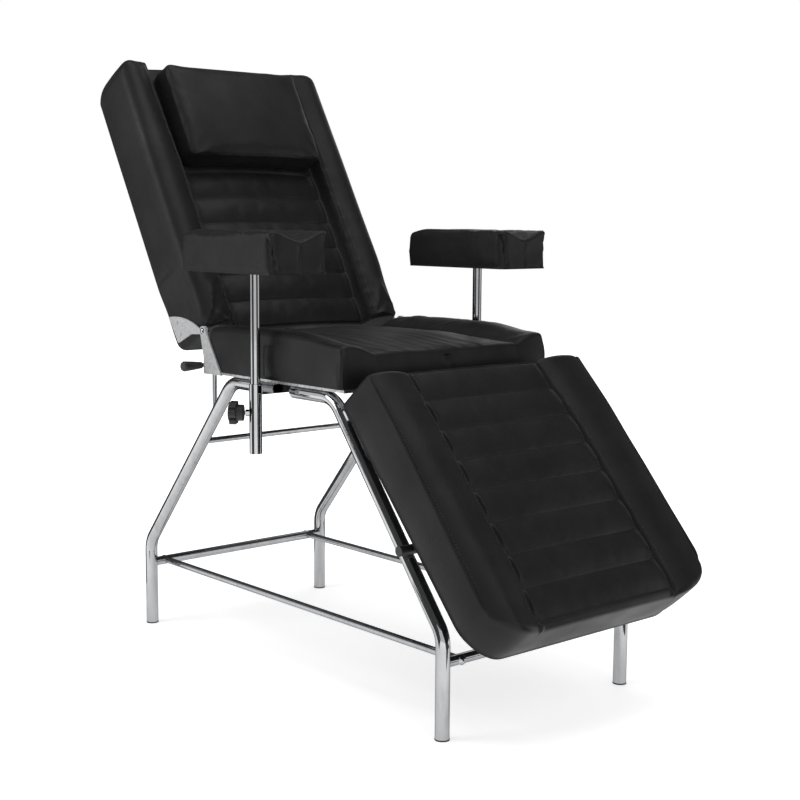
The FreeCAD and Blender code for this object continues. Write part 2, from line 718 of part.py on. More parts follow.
# Plate screws: flat heads on the plates' outer faces
def plate_screw(side, face, x, z):
    return cross_rod("plate_screw_head / 2", "screw_head_tall", x,
                     slab_start(side, face, "screw_head_tall"), z)


seat_plate_face = "back_half + 2 * plate_thick + plate_gap"
hold("seat_plate_screws", group(*[
    plate_screw(side, seat_plate_face, f"pivot_x + {x}", f"pivot_z - {z}")
    for _, side in sides
    for x, z in (("side_plate_front * 0.35", "side_plate_drop * 0.78"),
                 ("side_plate_front * 0.62", "side_plate_drop * 0.84"))]))
hold("back_plate_screws", on_back(*[
    plate_screw(side, "back_half + plate_thick", x, z)
    for _, side in sides
    for x, z in (("-fan_top_long * 0.72", "-fan_top_deep * 0.8"),
                 ("-fan_top_long * 0.4", "-fan_top_deep * 0.8"))]))


# Back: board behind, cushion before it, head pillow on top
hold("back_board", on_back(box(
    "back_long - 2 * back_board_inset", "2 * (back_half - back_board_inset)",
    "back_board_thick", "-back_gap - back_long + back_board_inset",
    "-(back_half - back_board_inset)", "back_low")))

back_floor = size("back_low") + size("back_board_thick")
back_end_share = (0.86, 0.94, 1.0)
back_end_places_share = (0.0, 0.3, 1.0)
bottom_round = size("back_bulge") * 2
top_round = size("back_bulge") * 3


def back_half_at(x):
    # flush under the hinge plates, a little fuller above them
    past = (-x - size("fan_top_long")) / size("fan_top_long")
    return size("back_half") + size("back_swell") * min(1.0, max(0.0, past))


def back_wire(x, rise, height, draw):
    crest = size("back_crest")
    lift = size("channel_deep") * height
    tall = crest - back_floor
    return cushion_wire(
        x, back_half_at(x) - size("back_draw") * (1 - rise) * 4, size("back_seam_half"),
        back_floor + draw, back_floor + tall * rise * 0.74, back_floor + tall * rise,
        back_floor + (size("back_seam") - back_floor) * rise,
        back_floor + (size("back_mid") - size("channel_deep") - back_floor + lift) * rise,
        size("back_draw") / 2)


def back_wires():
    start = -size("back_gap") - size("back_long")
    last = -size("back_gap") - bottom_round
    first = -size("back_gap") - size("pillow_low")
    wires = []
    for share, rise in zip(back_end_places_share, back_end_share):
        wires.append(back_wire(start + top_round * share, rise, 1, 0))
    wires.append(back_wire(first - size("channel_deep"), 1.0, 1, 0))
    for x, height in channel_stations(first, last - first, int(size("back_channels"))):
        wires.append(back_wire(x, 1.0, height, 0))
    wires.append(back_wire(last + bottom_round * 0.7, 0.97, 0, 0))
    wires.append(back_wire(last + bottom_round, 0.9, 0, 0))
    return wires


feature("back_cushion", loft(back_wires()), back_seat)

# The pillow stands on the sewn panel between the bolsters
panel_drop = size("back_mid") - size("back_seam")
pillow_hollow = size("back_mid") + size("plate_gap")
pillow_floor = pillow_hollow - panel_drop * (size("pillow_half")
                                             / size("back_seam_half")) ** 2
pillow_rows_share = ((0.0, 0.55), (0.04, 0.86), (0.14, 0.97), (0.5, 1.0), (0.86, 0.97),
                     (0.96, 0.86), (1.0, 0.55))


def pillow_wire(station, rise):
    # its foot keeps the same gap to the panel's arc at every width
    tall = size("pillow_tall")
    half = size("pillow_half") - size("pillow_crown") * (1 - rise)
    foot = (half - size("pillow_crown") / 2) / size("back_seam_half")
    return cushion_wire(
        -size("back_gap") - size("pillow_low") - station * size("pillow_long"),
        half, size("pillow_half") * 0.72,
        pillow_hollow - panel_drop * foot ** 2, pillow_floor + tall * rise * 0.62,
        pillow_floor + tall * rise * 0.92, pillow_floor + tall * rise,
        pillow_floor + (tall + size("pillow_crown")) * rise,
        size("pillow_crown") / 2, pillow_hollow)


feature("head_pillow", loft([pillow_wire(*row) for row in pillow_rows_share]), back_seat)

# Lower rail and slotted arms that drive the lock rod
hold("back_lower_rail", on_back(box(
    "lower_rail_long", "2 * lower_rail_half", "lower_rail_thick",
    "-back_gap - back_board_inset - lower_rail_long", "-lower_rail_half",
    "back_low - lower_rail_thick")))

slot_turn = "(270 + back_angle - lock_lead)"


def slot_spot(reach, sideways):
    # a point of the arm's slotted end, measured along and across the slot
    return (f"({reach}) * cos({slot_turn}) - ({sideways}) * sin({slot_turn})",
            f"({reach}) * sin({slot_turn}) + ({sideways}) * cos({slot_turn})")


arm_side = "(slot_half + arm_margin)"
arm_tip = "(slot_far + slot_half + arm_margin)"
arm_root = "(slot_near - slot_half - arm_wall)"
rail_back = "-back_gap - back_board_inset - lower_rail_long"
arm_corners = (
    (rail_back, "back_low - lower_rail_thick"),
    (rail_back, "back_low - lower_rail_thick - arm_margin"),
    ("back_gap + lower_rail_long / 2", "back_low - lower_rail_thick - arm_margin"),
    slot_spot(arm_tip, f"-{arm_side}"), slot_spot(arm_tip, arm_side),
    slot_spot("slot_near", arm_side), slot_spot(arm_root, "arm_wall"),
    slot_spot(arm_root, "-arm_wall"),
    ("-back_gap - back_board_inset", "back_low - lower_rail_thick"))


def slotted_arm(side):
    arm = plate_body("slotted_arm", point_list(*arm_corners), "arm_thick")
    place(arm, "0", "arm_gap + arm_thick" if side == "1" else "-arm_gap", "0")
    start = "arm_gap - arm_thick" if side == "1" else "-arm_gap - 2 * arm_thick"
    ends = [cross_rod("slot_half", "3 * arm_thick", slot_spot(reach, "0")[0], start,
                      slot_spot(reach, "0")[1]) for reach in ("slot_near", "slot_far")]
    run = box("slot_far - slot_near", "3 * arm_thick", "2 * slot_half")
    turn(run, across, f"-({slot_turn})")
    place(run, slot_spot("slot_near", "-slot_half")[0], start,
          slot_spot("slot_near", "-slot_half")[1])
    return cut(arm, *ends, run)


hold("back_lock_arms", on_back(slotted_arm("-1"), slotted_arm("1")))

# Lock rod with its eye and cross pin, sliding level under the seat
eye_x = "(pivot_x - (pivot_z - lock_height) * tan(lock_lead))"
cross_pin = cross_rod("lock_pin_od / 2", "lock_pin_long", eye_x, "-lock_pin_long / 2",
                      "lock_height")
eye = box("lock_eye", "lock_eye", "lock_eye", f"{eye_x} - lock_eye / 2", "-lock_eye / 2",
          "lock_height - lock_eye / 2")
slide = long_rod("lock_rod_od / 2", f"lock_rod_front - {eye_x}", eye_x, "0", "lock_height")
pin_hole = cross_rod("lock_pin_od / 2", "lock_pin_long", eye_x, "-lock_pin_long / 2",
                     "lock_height")
hold("back_lock_rod", group(cut(join(eye, slide), pin_hole), cross_pin))

housing_bore = long_rod("lock_rod_od / 2 + housing_clearance", "2 * housing_long",
                        "-housing_rear - housing_long / 2", "0", "lock_height")
case = long_rod("housing_od / 2", "housing_long", "-housing_rear", "0", "lock_height")
hold("back_lock_housing", cut(case, housing_bore))
foot_block = box("foot_long", "foot_wide", "lock_drop",
                 "-housing_rear + (housing_long - foot_long) / 2", "-foot_wide / 2",
                 "lock_height")
case_cutter = long_rod("housing_od / 2", "housing_long", "-housing_rear", "0", "lock_height")
hold("back_lock_bracket", cut(foot_block, case_cutter))

# Release lever: a bent rod on a cross pin, its grip stands out past the right hinge plate
lever_corners = point_list(
    ("0", "0"), ("0", "lever_tip + grip_long - lever_bend"),
    ("lever_x - lever_foot_x", "lever_tip + grip_long - lever_foot_y"),
    ("lever_x - lever_foot_x", "lever_tip + grip_long - lever_end"))
lever = pipe_body("lever_rod", lever_corners, "lever_radius", "XZ_Plane", "XY_Plane",
                  "lever_od / 2")
place(lever, "-lever_x", "-lever_tip - grip_long", "lever_z")
pin_reach = ("lever_od + lever_pin_rear - lever_od / 2 + lever_bracket_gap"
             " + lever_bracket_thick")
pin_start = "-lever_x - lever_pin_rear"
lever_hole = long_rod("lever_pin_od / 2 + pivot_clearance", pin_reach, pin_start,
                      "-lever_pin_y", "lever_z")
hold("release_lever", cut(lever, lever_hole))

grip_body = doc.addObject("PartDesign::Body", "grip")
grip_sketch = sketch_on(grip_body, "grip_half", "YZ_Plane")
outline(grip_sketch, point_list(
    ("-grip_end", "lever_od / 2"), ("-grip_end", "grip_od / 2 * 0.82"),
    ("0", "grip_od / 2"), ("grip_long * 0.5", "grip_od / 2 * 0.84"),
    ("grip_long", "grip_neck / 2"), ("grip_long", "lever_od / 2")))
grip_turned = grip_body.newObject("PartDesign::Revolution", "grip_turned")
grip_turned.Profile = grip_sketch
grip_turned.ReferenceAxis = (plane(grip_body, "Y_Axis"), [""])
grip_turned.Angle = 360
place(grip_body, "-lever_x", "-lever_tip - grip_long", "lever_z")
grip_cap = cross_rod("lever_od / 2", "grip_end", "-lever_x",
                     "-lever_tip - grip_long - grip_end", "lever_z")
hold("lever_grip", join(grip_body, grip_cap))

bracket_face = "(-lever_x + lever_od / 2 + lever_bracket_gap)"
lever_plate = box("lever_bracket_thick", "lever_bracket_wide",
                  "lever_drop + lever_bracket_wide / 3", bracket_face,
                  "-lever_pin_y - lever_bracket_wide / 2",
                  "lever_z - lever_bracket_wide / 3")
lever_flange = box("lever_flange", "lever_bracket_wide", "lever_bracket_thick", bracket_face,
                   "-lever_pin_y - lever_bracket_wide / 2",
                   "board_low - lever_bracket_thick")
pin_bore = long_rod("lever_pin_od / 2", pin_reach, pin_start, "-lever_pin_y", "lever_z")
lever_pin = long_rod("lever_pin_od / 2", pin_reach, pin_start, "-lever_pin_y", "lever_z")
hold("lever_bracket", group(cut(join(lever_plate, lever_flange), pin_bore), lever_pin))

# Leg rest: board below, cushion above, drawn level and then tilted down
hold("leg_rest_board", on_leg_rest(box(
    "leg_long - 2 * leg_board_inset", "2 * (leg_half - leg_corner / 2)", "leg_board_thick",
    "leg_start + leg_board_inset / 2", "-(leg_half - leg_corner / 2)", "leg_low")))

leg_floor = size("leg_low") + size("leg_board_thick")
leg_end_places_share = (0.0, 0.012, 0.04)
leg_end_rise_share = (0.86, 0.95, 1.0)


def leg_wire(x, rise, height):
    end = size("leg_start") + size("leg_long")
    corner_draw = round_off(end - x, size("leg_corner"))
    lift = size("channel_deep") * height
    tall = size("leg_crest") - leg_floor
    half = size("leg_half") - corner_draw - size("leg_draw") * (1 - rise)
    seam = min(size("leg_seam_half"), half - size("leg_draw"))
    return cushion_wire(
        x, half, seam, leg_floor,
        leg_floor + (size("leg_edge") - leg_floor) * rise, leg_floor + tall * rise,
        leg_floor + (size("leg_seam") - leg_floor) * rise,
        leg_floor + (size("leg_mid") - size("channel_deep") - leg_floor + lift) * rise,
        size("leg_draw"))


def leg_wires():
    start = size("leg_start")
    length = size("leg_long")
    first = start + length * leg_end_places_share[-1]
    last = start + length * (1 - leg_end_places_share[-1])
    wires = [leg_wire(start + length * share, rise, 0)
             for share, rise in zip(leg_end_places_share[:-1], leg_end_rise_share[:-1])]
    for x, height in channel_stations(first, last - first, int(size("leg_channels"))):
        wires.append(leg_wire(x, 1.0, height))
    for share, rise in reversed(list(zip(leg_end_places_share[:-1],
                                         leg_end_rise_share[:-1]))):
        wires.append(leg_wire(start + length * (1 - share), rise, 0))
    return wires


feature("leg_rest_cushion", loft(leg_wires()), leg_seat)


# Leg rest hinges: a bracket under the front rail, a strap under the board, a pin
def hinge_bracket(side):
    corners = point_list(
        ("rail_front", "rail_low"), ("rail_front + front_rail_depth", "rail_low"),
        ("hinge_x + knuckle_radius * 0.7", "hinge_z + knuckle_radius * 0.7"),
        ("hinge_x - knuckle_radius * 0.2", "hinge_z - knuckle_radius * 0.95"))
    start = slab_start(side, "strap_spread / 2 - strap_thick", "strap_thick")
    web = plate_body("hinge_web", corners, "strap_thick")
    place(web, "0", f"{start} + strap_thick", "0")
    knuckle = cross_rod("knuckle_radius", "strap_thick", "hinge_x", start, "hinge_z")
    hole = cross_rod("hinge_pin_od / 2", "3 * strap_thick", "hinge_x",
                     f"{start} - strap_thick", "hinge_z")
    return cut(join(web, knuckle), hole)


hold("leg_hinge_brackets", group(hinge_bracket("-1"), hinge_bracket("1")))


def hinge_strap(side):
    start = slab_start(side, "strap_spread / 2 + strap_gap", "strap_thick")
    shelf_start = slab_start(side, "strap_spread / 2 + strap_gap", "strap_wide")
    knuckle = cross_rod("knuckle_radius", "strap_thick", "0", start, "0")
    web = box("strap_long", "strap_thick", "knuckle_radius + leg_low - strap_flange", "0",
              start, "-knuckle_radius")
    shelf = box("strap_long - leg_start - leg_board_inset", "strap_wide", "strap_flange",
                "leg_start + leg_board_inset / 2", shelf_start, "leg_low - strap_flange")
    hole = cross_rod("hinge_pin_od / 2 + hinge_pin_clearance", "3 * strap_thick", "0",
                     f"{start} - strap_thick", "0")
    return cut(join(knuckle, web, shelf), hole)


hold("leg_hinge_straps", on_leg_rest(hinge_strap("-1"), hinge_strap("1")))


def hinge_pin(side):
    # its head lies on the bracket, its end stands out past the strap
    inner = "strap_spread / 2 - strap_thick - hinge_pin_head_tall"
    reach = "2 * strap_thick + strap_gap + 2 * hinge_pin_head_tall"
    shank = cross_rod("hinge_pin_od / 2", reach, "hinge_x", slab_start(side, inner, reach),
                      "hinge_z")
    head = cross_rod("hinge_pin_head / 2", "hinge_pin_head_tall", "hinge_x",
                     slab_start(side, inner, "hinge_pin_head_tall"), "hinge_z")
    return join(shank, head)


hold("leg_hinge_pins", group(hinge_pin("-1"), hinge_pin("1")))

# Stop bar: lies on the two leaning front legs when the leg rest is down
stop_local = vec(size("stop_along"), 0, -size("stop_under"))


def tube_across(outer, inner, start, length):
    spot = vec(stop_local.x, start, stop_local.z)
    shape = Part.makeCylinder(outer, length, spot, across)
    if inner > 0:
        shape = shape.cut(Part.makeCylinder(inner, length, spot, across))
    return shape


stop_reach = size("stop_reach")
feature("leg_stop_bar", tube_across(size("stop_bar_od") / 2, 0, -stop_reach,
                                    2 * stop_reach), leg_seat)
sleeve_inner = size("stop_bar_od") / 2 + size("sleeve_clearance")
sleeve_long = size("stop_sleeve_long")


def stop_sleeve(start, end_start):
    sleeve = tube_across(size("stop_sleeve_od") / 2, sleeve_inner, start, sleeve_long)
    end = tube_across(size("stop_sleeve_od") / 2, 0, end_start, size("strap_flange"))
    return sleeve.fuse(end)


feature("leg_stop_sleeves", Part.makeCompound([
    stop_sleeve(-stop_reach, -stop_reach - size("strap_flange")),
    stop_sleeve(stop_reach - sleeve_long, stop_reach)]), leg_seat)


def stop_bracket(middle):
    foot = size("stop_foot") / 2
    boss = size("stop_boss")
    corners = [vec(stop_local.x - foot, 0, size("leg_low")),
               vec(stop_local.x + foot, 0, size("leg_low")),
               vec(stop_local.x + boss, 0, stop_local.z),
               vec(stop_local.x - boss, 0, stop_local.z)]
    face = Part.Face(Part.makePolygon(corners + corners[:1]))
    web = face.extrude(vec(0, size("stop_plate"), 0))
    boss_disc = Part.makeCylinder(boss, size("stop_plate"), vec(stop_local.x, 0,
                                                               stop_local.z), across)
    bore = Part.makeCylinder(size("stop_bar_od") / 2, size("stop_plate"),
                             vec(stop_local.x, 0, stop_local.z), across)
    shape = web.fuse(boss_disc).removeSplitter().cut(bore)
    shape.translate(vec(0, middle - size("stop_plate") / 2, 0))
    return shape


half_spread = size("stop_spread") / 2
feature("leg_stop_brackets", Part.makeCompound([stop_bracket(-half_spread),
                                                stop_bracket(half_spread)]), leg_seat)

# Prop under the leg rest: a tube hinged on the armrest crossbar, a bar sliding in it
prop_foot = vec(size("prop_x"), 0, size("prop_z"))
prop_eye_local = vec(size("prop_eye_x"), 0, -size("prop_eye_low"))
prop_eye = leg_seat.multVec(prop_eye_local)
prop_line = prop_eye - prop_foot
prop_angle = math.degrees(math.atan2(-prop_line.z, prop_line.x))
prop_seat = FreeCAD.Placement(prop_foot, FreeCAD.Rotation(across, prop_angle))
prop_reach = prop_line.Length


def cylinder_along(radius, length, start):
    return Part.makeCylinder(radius, length, vec(start, 0, 0), along)


def cylinder_across(radius, width, x, z):
    return Part.makeCylinder(radius, width, vec(x, -width / 2, z), across)


flat_wide = size("prop_flat")
pin_radius = size("prop_pin_od") / 2
side_play = size("prop_side_play")
eye_radius = size("prop_eye_radius")
prop_tube = cylinder_along(size("prop_tube_od") / 2, size("prop_tube_long"),
                           size("prop_run"))
prop_tube = prop_tube.cut(cylinder_along(size("prop_bar_od") / 2 + size("prop_clearance"),
                                         size("prop_tube_long"),
                                         size("prop_run") + size("prop_cheek")))
prop_head = cylinder_across(eye_radius, flat_wide, 0, 0)
prop_neck = Part.makeBox(size("prop_run") + size("prop_cheek"), flat_wide,
                         2 * pin_radius + size("prop_cheek"),
                         vec(0, -flat_wide / 2, -pin_radius - size("prop_cheek") / 2))
prop_tube = prop_tube.fuse([prop_head, prop_neck]).cut(
    cylinder_across(pin_radius + size("pivot_clearance"), 2 * flat_wide, 0, 0))
feature("leg_prop_tube", prop_tube, prop_seat)

bar_start = prop_reach - size("prop_bar_long")
shoulder = eye_radius + size("prop_shoulder")
prop_bar = cylinder_along(size("prop_bar_od") / 2, size("prop_bar_long") - shoulder,
                          bar_start)
slot_in = size("prop_slot_in")
slot_out = size("prop_slot_out")
slot_radius = pin_radius + size("prop_play")
eye_block = Part.makeBox(shoulder + slot_in + slot_out, flat_wide, 2 * eye_radius,
                         vec(prop_reach - shoulder - slot_in, -flat_wide / 2,
                             -eye_radius))
eye_end = cylinder_across(eye_radius, flat_wide, prop_reach + slot_out, 0)
slot_run = Part.makeBox(slot_in + slot_out, 2 * flat_wide, 2 * slot_radius,
                        vec(prop_reach - slot_in, -flat_wide, -slot_radius))
slot_ends = [cylinder_across(slot_radius, 2 * flat_wide, prop_reach - slot_in, 0),
             cylinder_across(slot_radius, 2 * flat_wide, prop_reach + slot_out, 0)]
prop_bar = prop_bar.fuse([eye_block, eye_end]).removeSplitter().cut([slot_run] + slot_ends)
feature("leg_prop_bar", prop_bar, prop_seat)


def cheek_pair(root_x, root_z, tall, boss_x, boss_z, deep):
    # two cheeks either side of a flat end, each a web from a root block to a boss
    cheeks = []
    inner = flat_wide / 2 + side_play
    for start in (-inner - size("prop_cheek"), inner):
        web = Part.makeBox(deep, size("prop_cheek"), tall, vec(root_x, start, root_z))
        boss = Part.makeCylinder(eye_radius, size("prop_cheek"),
                                 vec(boss_x, start, boss_z), across)
        cheeks.append(web.fuse(boss).removeSplitter())
    return cheeks


pin_cut = 3 * flat_wide
beam_front = size("arm_place") + size("beam_depth") / 2
foot_cheeks = cheek_pair(beam_front, size("prop_z") - pin_radius - size("prop_cheek"),
                         2 * pin_radius + 2 * size("prop_cheek"), size("prop_x"),
                         size("prop_z"), size("prop_x") - beam_front)
foot_bore = Part.makeCylinder(pin_radius, pin_cut, vec(size("prop_x"), -pin_cut / 2,
                                                       size("prop_z")), across)
prop_pin_long = flat_wide + 2 * (size("prop_cheek") + 2 * side_play)
foot_pin = Part.makeCylinder(pin_radius, prop_pin_long,
                             vec(size("prop_x"), -prop_pin_long / 2, size("prop_z")), across)
feature("leg_prop_bracket", Part.makeCompound(
    [cheek.cut(foot_bore) for cheek in foot_cheeks] + [foot_pin]))
eye_cheeks = cheek_pair(size("prop_eye_x") - eye_radius, -size("prop_eye_low"),
                        size("leg_low") + size("prop_eye_low"), size("prop_eye_x"),
                        -size("prop_eye_low"), 2 * eye_radius)
eye_bore = Part.makeCylinder(pin_radius, pin_cut, vec(size("prop_eye_x"), -pin_cut / 2,
                                                      -size("prop_eye_low")), across)
eye_pin = Part.makeCylinder(pin_radius, prop_pin_long,
                            vec(size("prop_eye_x"), -prop_pin_long / 2,
                                -size("prop_eye_low")), across)
feature("leg_prop_clevis", Part.makeCompound(
    [cheek.cut(eye_bore) for cheek in eye_cheeks] + [eye_pin]), leg_seat)

# Armrests: post with a spigot, plate, board and pad with a forearm trough
arm_low = "(pad_low - arm_board_thick - arm_plate_thick)"
pad_rows_share = ((0.0, 0.62), (0.03, 0.85), (0.09, 0.97), (0.2, 1.0), (0.45, 1.0),
                  (0.7, 1.0), (0.9, 1.0), (0.97, 0.96), (1.0, 0.84))
trough_share = (0.25, 0.3, 0.35, 0.4, 0.5, 0.65, 0.85, 1.0, 1.05)


def pad_wire(row, trough):
    station, rise = row
    tall = size("pad_tall")
    dip = size("pad_trough") * trough
    half = size("pad_wide") / 2 - size("pad_wide") * (1 - rise) / 6
    return cushion_wire(
        size("arm_place") - size("pad_setback") + station * size("pad_long")
        - size("pad_long") / 2, half,
        size("pad_seam_half"), size("pad_low"), size("pad_low") + tall * rise * 0.8,
        size("pad_low") + tall * rise, size("pad_low") + tall * rise - dip * 0.7,
        size("pad_low") + tall * rise - dip, size("back_draw") / 2)


for side_name, side in sides:
    spot = ("arm_place", f"{side} * arm_spread / 2")
    stem = rod("post_od / 2", f"{arm_low} - post_low", *spot, "post_low")
    spigot = rod("spigot_od / 2", "spigot_tall + arm_plate_thick", *spot, arm_low)
    plate = box("arm_plate_long", "arm_plate_wide", "arm_plate_thick",
                "arm_place - arm_plate_long / 2",
                f"{side} * arm_spread / 2 - arm_plate_wide / 2", arm_low)
    plate_hole = rod("spigot_od / 2", "3 * arm_plate_thick", *spot,
                     f"{arm_low} - arm_plate_thick")
    hold("armrest_post_" + side_name, group(join(stem, spigot), cut(plate, plate_hole)))
    board = box("pad_long - 2 * arm_board_inset", "pad_wide - 2 * arm_board_inset",
                "arm_board_thick", "arm_place - pad_setback - pad_long / 2 + arm_board_inset",
                f"{side} * arm_spread / 2 - pad_wide / 2 + arm_board_inset",
                f"{arm_low} + arm_plate_thick")
    board_hole = rod("spigot_od / 2 + pivot_clearance", "spigot_tall + pivot_clearance",
                     *spot, f"{arm_low} + arm_plate_thick")
    hold("armrest_board_" + side_name, cut(board, board_hole))
    pad_shape = loft([pad_wire(row, trough)
                      for row, trough in zip(pad_rows_share, trough_share)])
    pad_shape.translate(vec(0, float(side) * size("arm_spread") / 2, 0))
    feature("armrest_pad_" + side_name, pad_shape)

doc.recompute()
for thing in doc.Objects:
    if "Invalid" in thing.State or "Error" in thing.State:
        raise RuntimeError(f"{thing.Name} {thing.Label} is {thing.State}")
for name, thing in parts.items():
    if thing.Shape.isNull() or not thing.Shape.isValid():
        raise RuntimeError(f"{name} has no valid shape")
print(len(parts), "parts")
print("leg rest angle", round(size("leg_angle"), 4), "prop angle", round(prop_angle, 3),
      "prop reach", round(prop_reach, 2))

os.makedirs("parts", exist_ok=True)
for name, thing in parts.items():
    thing.Shape.exportStep(f"parts/{name}.step")
    print(name, len(thing.Shape.Solids), round(thing.Shape.Volume))
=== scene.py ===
import json
import math

import bpy
from mathutils import Euler, Matrix, Vector, noise


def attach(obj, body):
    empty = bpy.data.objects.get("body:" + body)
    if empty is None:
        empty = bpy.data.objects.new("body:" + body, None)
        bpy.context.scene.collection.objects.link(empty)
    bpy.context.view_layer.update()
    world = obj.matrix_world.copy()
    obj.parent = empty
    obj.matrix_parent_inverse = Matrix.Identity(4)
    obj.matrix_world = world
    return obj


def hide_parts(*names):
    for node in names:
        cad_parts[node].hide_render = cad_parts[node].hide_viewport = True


# Tattoo chair, dressed for a studio shot. Metres, +X to the leg rest, +Y the sitter's left.

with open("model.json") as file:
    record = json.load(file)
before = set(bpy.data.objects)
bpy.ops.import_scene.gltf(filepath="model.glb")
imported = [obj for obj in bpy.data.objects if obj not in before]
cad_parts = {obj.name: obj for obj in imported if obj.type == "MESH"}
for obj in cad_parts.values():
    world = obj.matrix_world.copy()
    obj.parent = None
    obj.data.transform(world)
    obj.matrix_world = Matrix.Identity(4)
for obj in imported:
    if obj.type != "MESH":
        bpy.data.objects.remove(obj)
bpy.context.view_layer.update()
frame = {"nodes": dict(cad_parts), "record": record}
nodes = frame["nodes"]
scene = bpy.context.scene
print("frame loaded with", len(nodes), "nodes")


def put(tree, socket, value):
    # links another node's output to a socket, or writes a plain value into it
    if isinstance(value, bpy.types.NodeSocket):
        tree.links.new(value, socket)
    else:
        socket.default_value = value


def feed(tree, node, **values):
    # sockets by name; an underscore stands for a space
    for label, value in values.items():
        put(tree, node.inputs[label.replace("_", " ")], value)
    return node


def addNode(tree, kind, **values):
    # lower case names are the node's settings, the others its sockets
    node = tree.nodes.new("ShaderNode" + kind)
    for field, value in values.items():
        if field.islower():
            setattr(node, field, value)
        else:
            feed(tree, node, **{field: value})
    return node


def mathNode(tree, operation, *terms):
    node = addNode(tree, "Math", operation=operation)
    for socket, term in zip(node.inputs, terms):
        put(tree, socket, term)
    return node.outputs[0]


def rampNode(tree, source, low, high, lowValue=0.0, highValue=1.0):
    return addNode(tree, "MapRange", clamp=True, Value=source, From_Min=low, From_Max=high,
                   To_Min=lowValue, To_Max=highValue).outputs["Result"]


def noiseNode(tree, vector, scale, detail=3.0, roughness=0.55):
    return addNode(tree, "TexNoise", Vector=vector, Scale=scale, Detail=detail,
                   Roughness=roughness).outputs["Fac"]


def objectSpace(tree):
    return addNode(tree, "TexCoord").outputs["Object"]


def newGroup(name, inputs, outputs):
    # a node group whose sockets are all plain values
    group = bpy.data.node_groups.new(name, "ShaderNodeTree")
    for label, value in inputs.items():
        socket = group.interface.new_socket(label, in_out="INPUT",
                                            socket_type="NodeSocketFloat")
        socket.default_value = value
    for label in outputs:
        group.interface.new_socket(label, in_out="OUTPUT", socket_type="NodeSocketFloat")
    given = group.nodes.new("NodeGroupInput").outputs
    return group, given, group.nodes.new("NodeGroupOutput")


def buildHideGrain():
    # pebbled grain of a coated cover, with finer pores and the odd crease
    group, given, result = newGroup(
        "hideGrain", {"Pebble Scale": 620.0, "Pore Scale": 1900.0, "Crease Scale": 26.0,
                      "Crease Amount": 0.5}, ["Height"])
    where = objectSpace(group)
    pebble = addNode(group, "TexVoronoi", feature="SMOOTH_F1", Vector=where,
                     Scale=given["Pebble Scale"])
    pores = noiseNode(group, where, given["Pore Scale"], 2.0)
    bend = addNode(group, "TexNoise", Vector=where, Scale=given["Crease Scale"], Detail=4.0,
                   Distortion=1.6)
    off = mathNode(group, "ABSOLUTE", mathNode(group, "SUBTRACT", bend.outputs["Fac"], 0.5))
    creased = mathNode(group, "MULTIPLY", rampNode(group, off, 0.0, 0.035, 1.0, 0.0),
                       given["Crease Amount"])
    grain = mathNode(group, "MULTIPLY", pebble.outputs["Distance"], -0.8)
    fine = mathNode(group, "MULTIPLY", pores, 0.35)
    feed(group, result, Height=mathNode(group, "SUBTRACT", mathNode(group, "ADD", grain, fine),
                                        creased))
    return group


def buildHandling():
    # slow cloudy variation where hands and cloths have been
    group, given, result = newGroup(
        "handling", {"Cloud Scale": 7.0, "Streak Scale": 60.0}, ["Cloud", "Streak"])
    where = objectSpace(group)
    cloud = noiseNode(group, where, given["Cloud Scale"], 4.0, 0.6)
    squeeze = addNode(group, "Mapping", Vector=where, Scale=(1.0, 1.0, 0.12))
    streak = noiseNode(group, squeeze.outputs["Vector"], given["Streak Scale"], 5.0, 0.65)
    feed(group, result, Cloud=rampNode(group, cloud, 0.32, 0.68),
         Streak=rampNode(group, streak, 0.35, 0.7))
    return group


def buildEdgeRub():
    # bright where an edge stands out, broken up by noise
    group, given, result = newGroup("edgeRub", {"Reach": 0.08, "Break Scale": 180.0}, ["Rub"])
    shape = addNode(group, "NewGeometry").outputs["Pointiness"]
    edge = rampNode(group, shape, 0.5, mathNode(group, "ADD", given["Reach"], 0.5))
    grit = noiseNode(group, objectSpace(group), given["Break Scale"], 4.0)
    feed(group, result, Rub=mathNode(group, "MULTIPLY", edge, rampNode(group, grit, 0.4, 0.62)))
    return group


def buildSettledDust():
    # thin dust on what faces up
    group, given, result = newGroup("settledDust", {"Patch Scale": 22.0}, ["Dust"])
    up = addNode(group, "SeparateXYZ", Vector=addNode(group, "NewGeometry").outputs["Normal"])
    facing = rampNode(group, up.outputs["Z"], 0.35, 1.0)
    patch = noiseNode(group, objectSpace(group), given["Patch Scale"], 6.0, 0.7)
    feed(group, result, Dust=mathNode(group, "MULTIPLY", facing,
                                      rampNode(group, patch, 0.42, 0.75)))
    return group


hideGrain = buildHideGrain()
handling = buildHandling()
edgeRub = buildEdgeRub()
settledDust = buildSettledDust()
print("shared effects built")


def useGroup(tree, group, **values):
    # places a shared effect with its own values, and gives its outputs
    node = tree.nodes.new("ShaderNodeGroup")
    node.node_tree = group
    return feed(tree, node, **values).outputs


def mixColours(tree, factor, first, second):
    node = addNode(tree, "Mix", data_type="RGBA")
    put(tree, node.inputs[0], factor)
    for socket, value in zip(node.inputs[6:8], (first, second)):  # the two colour sockets
        put(tree, socket, (*value, 1.0) if isinstance(value, tuple) else value)
    return node.outputs[2]


def startFinish(name):
    material = bpy.data.materials.new(name)
    material.use_nodes = True
    tree = material.node_tree
    return material, tree, tree.nodes["Principled BSDF"]


def addBump(tree, shader, height, distance, strength):
    bump = addNode(tree, "Bump", Height=height, Distance=distance, Strength=strength)
    feed(tree, shader, Normal=bump.outputs["Normal"])


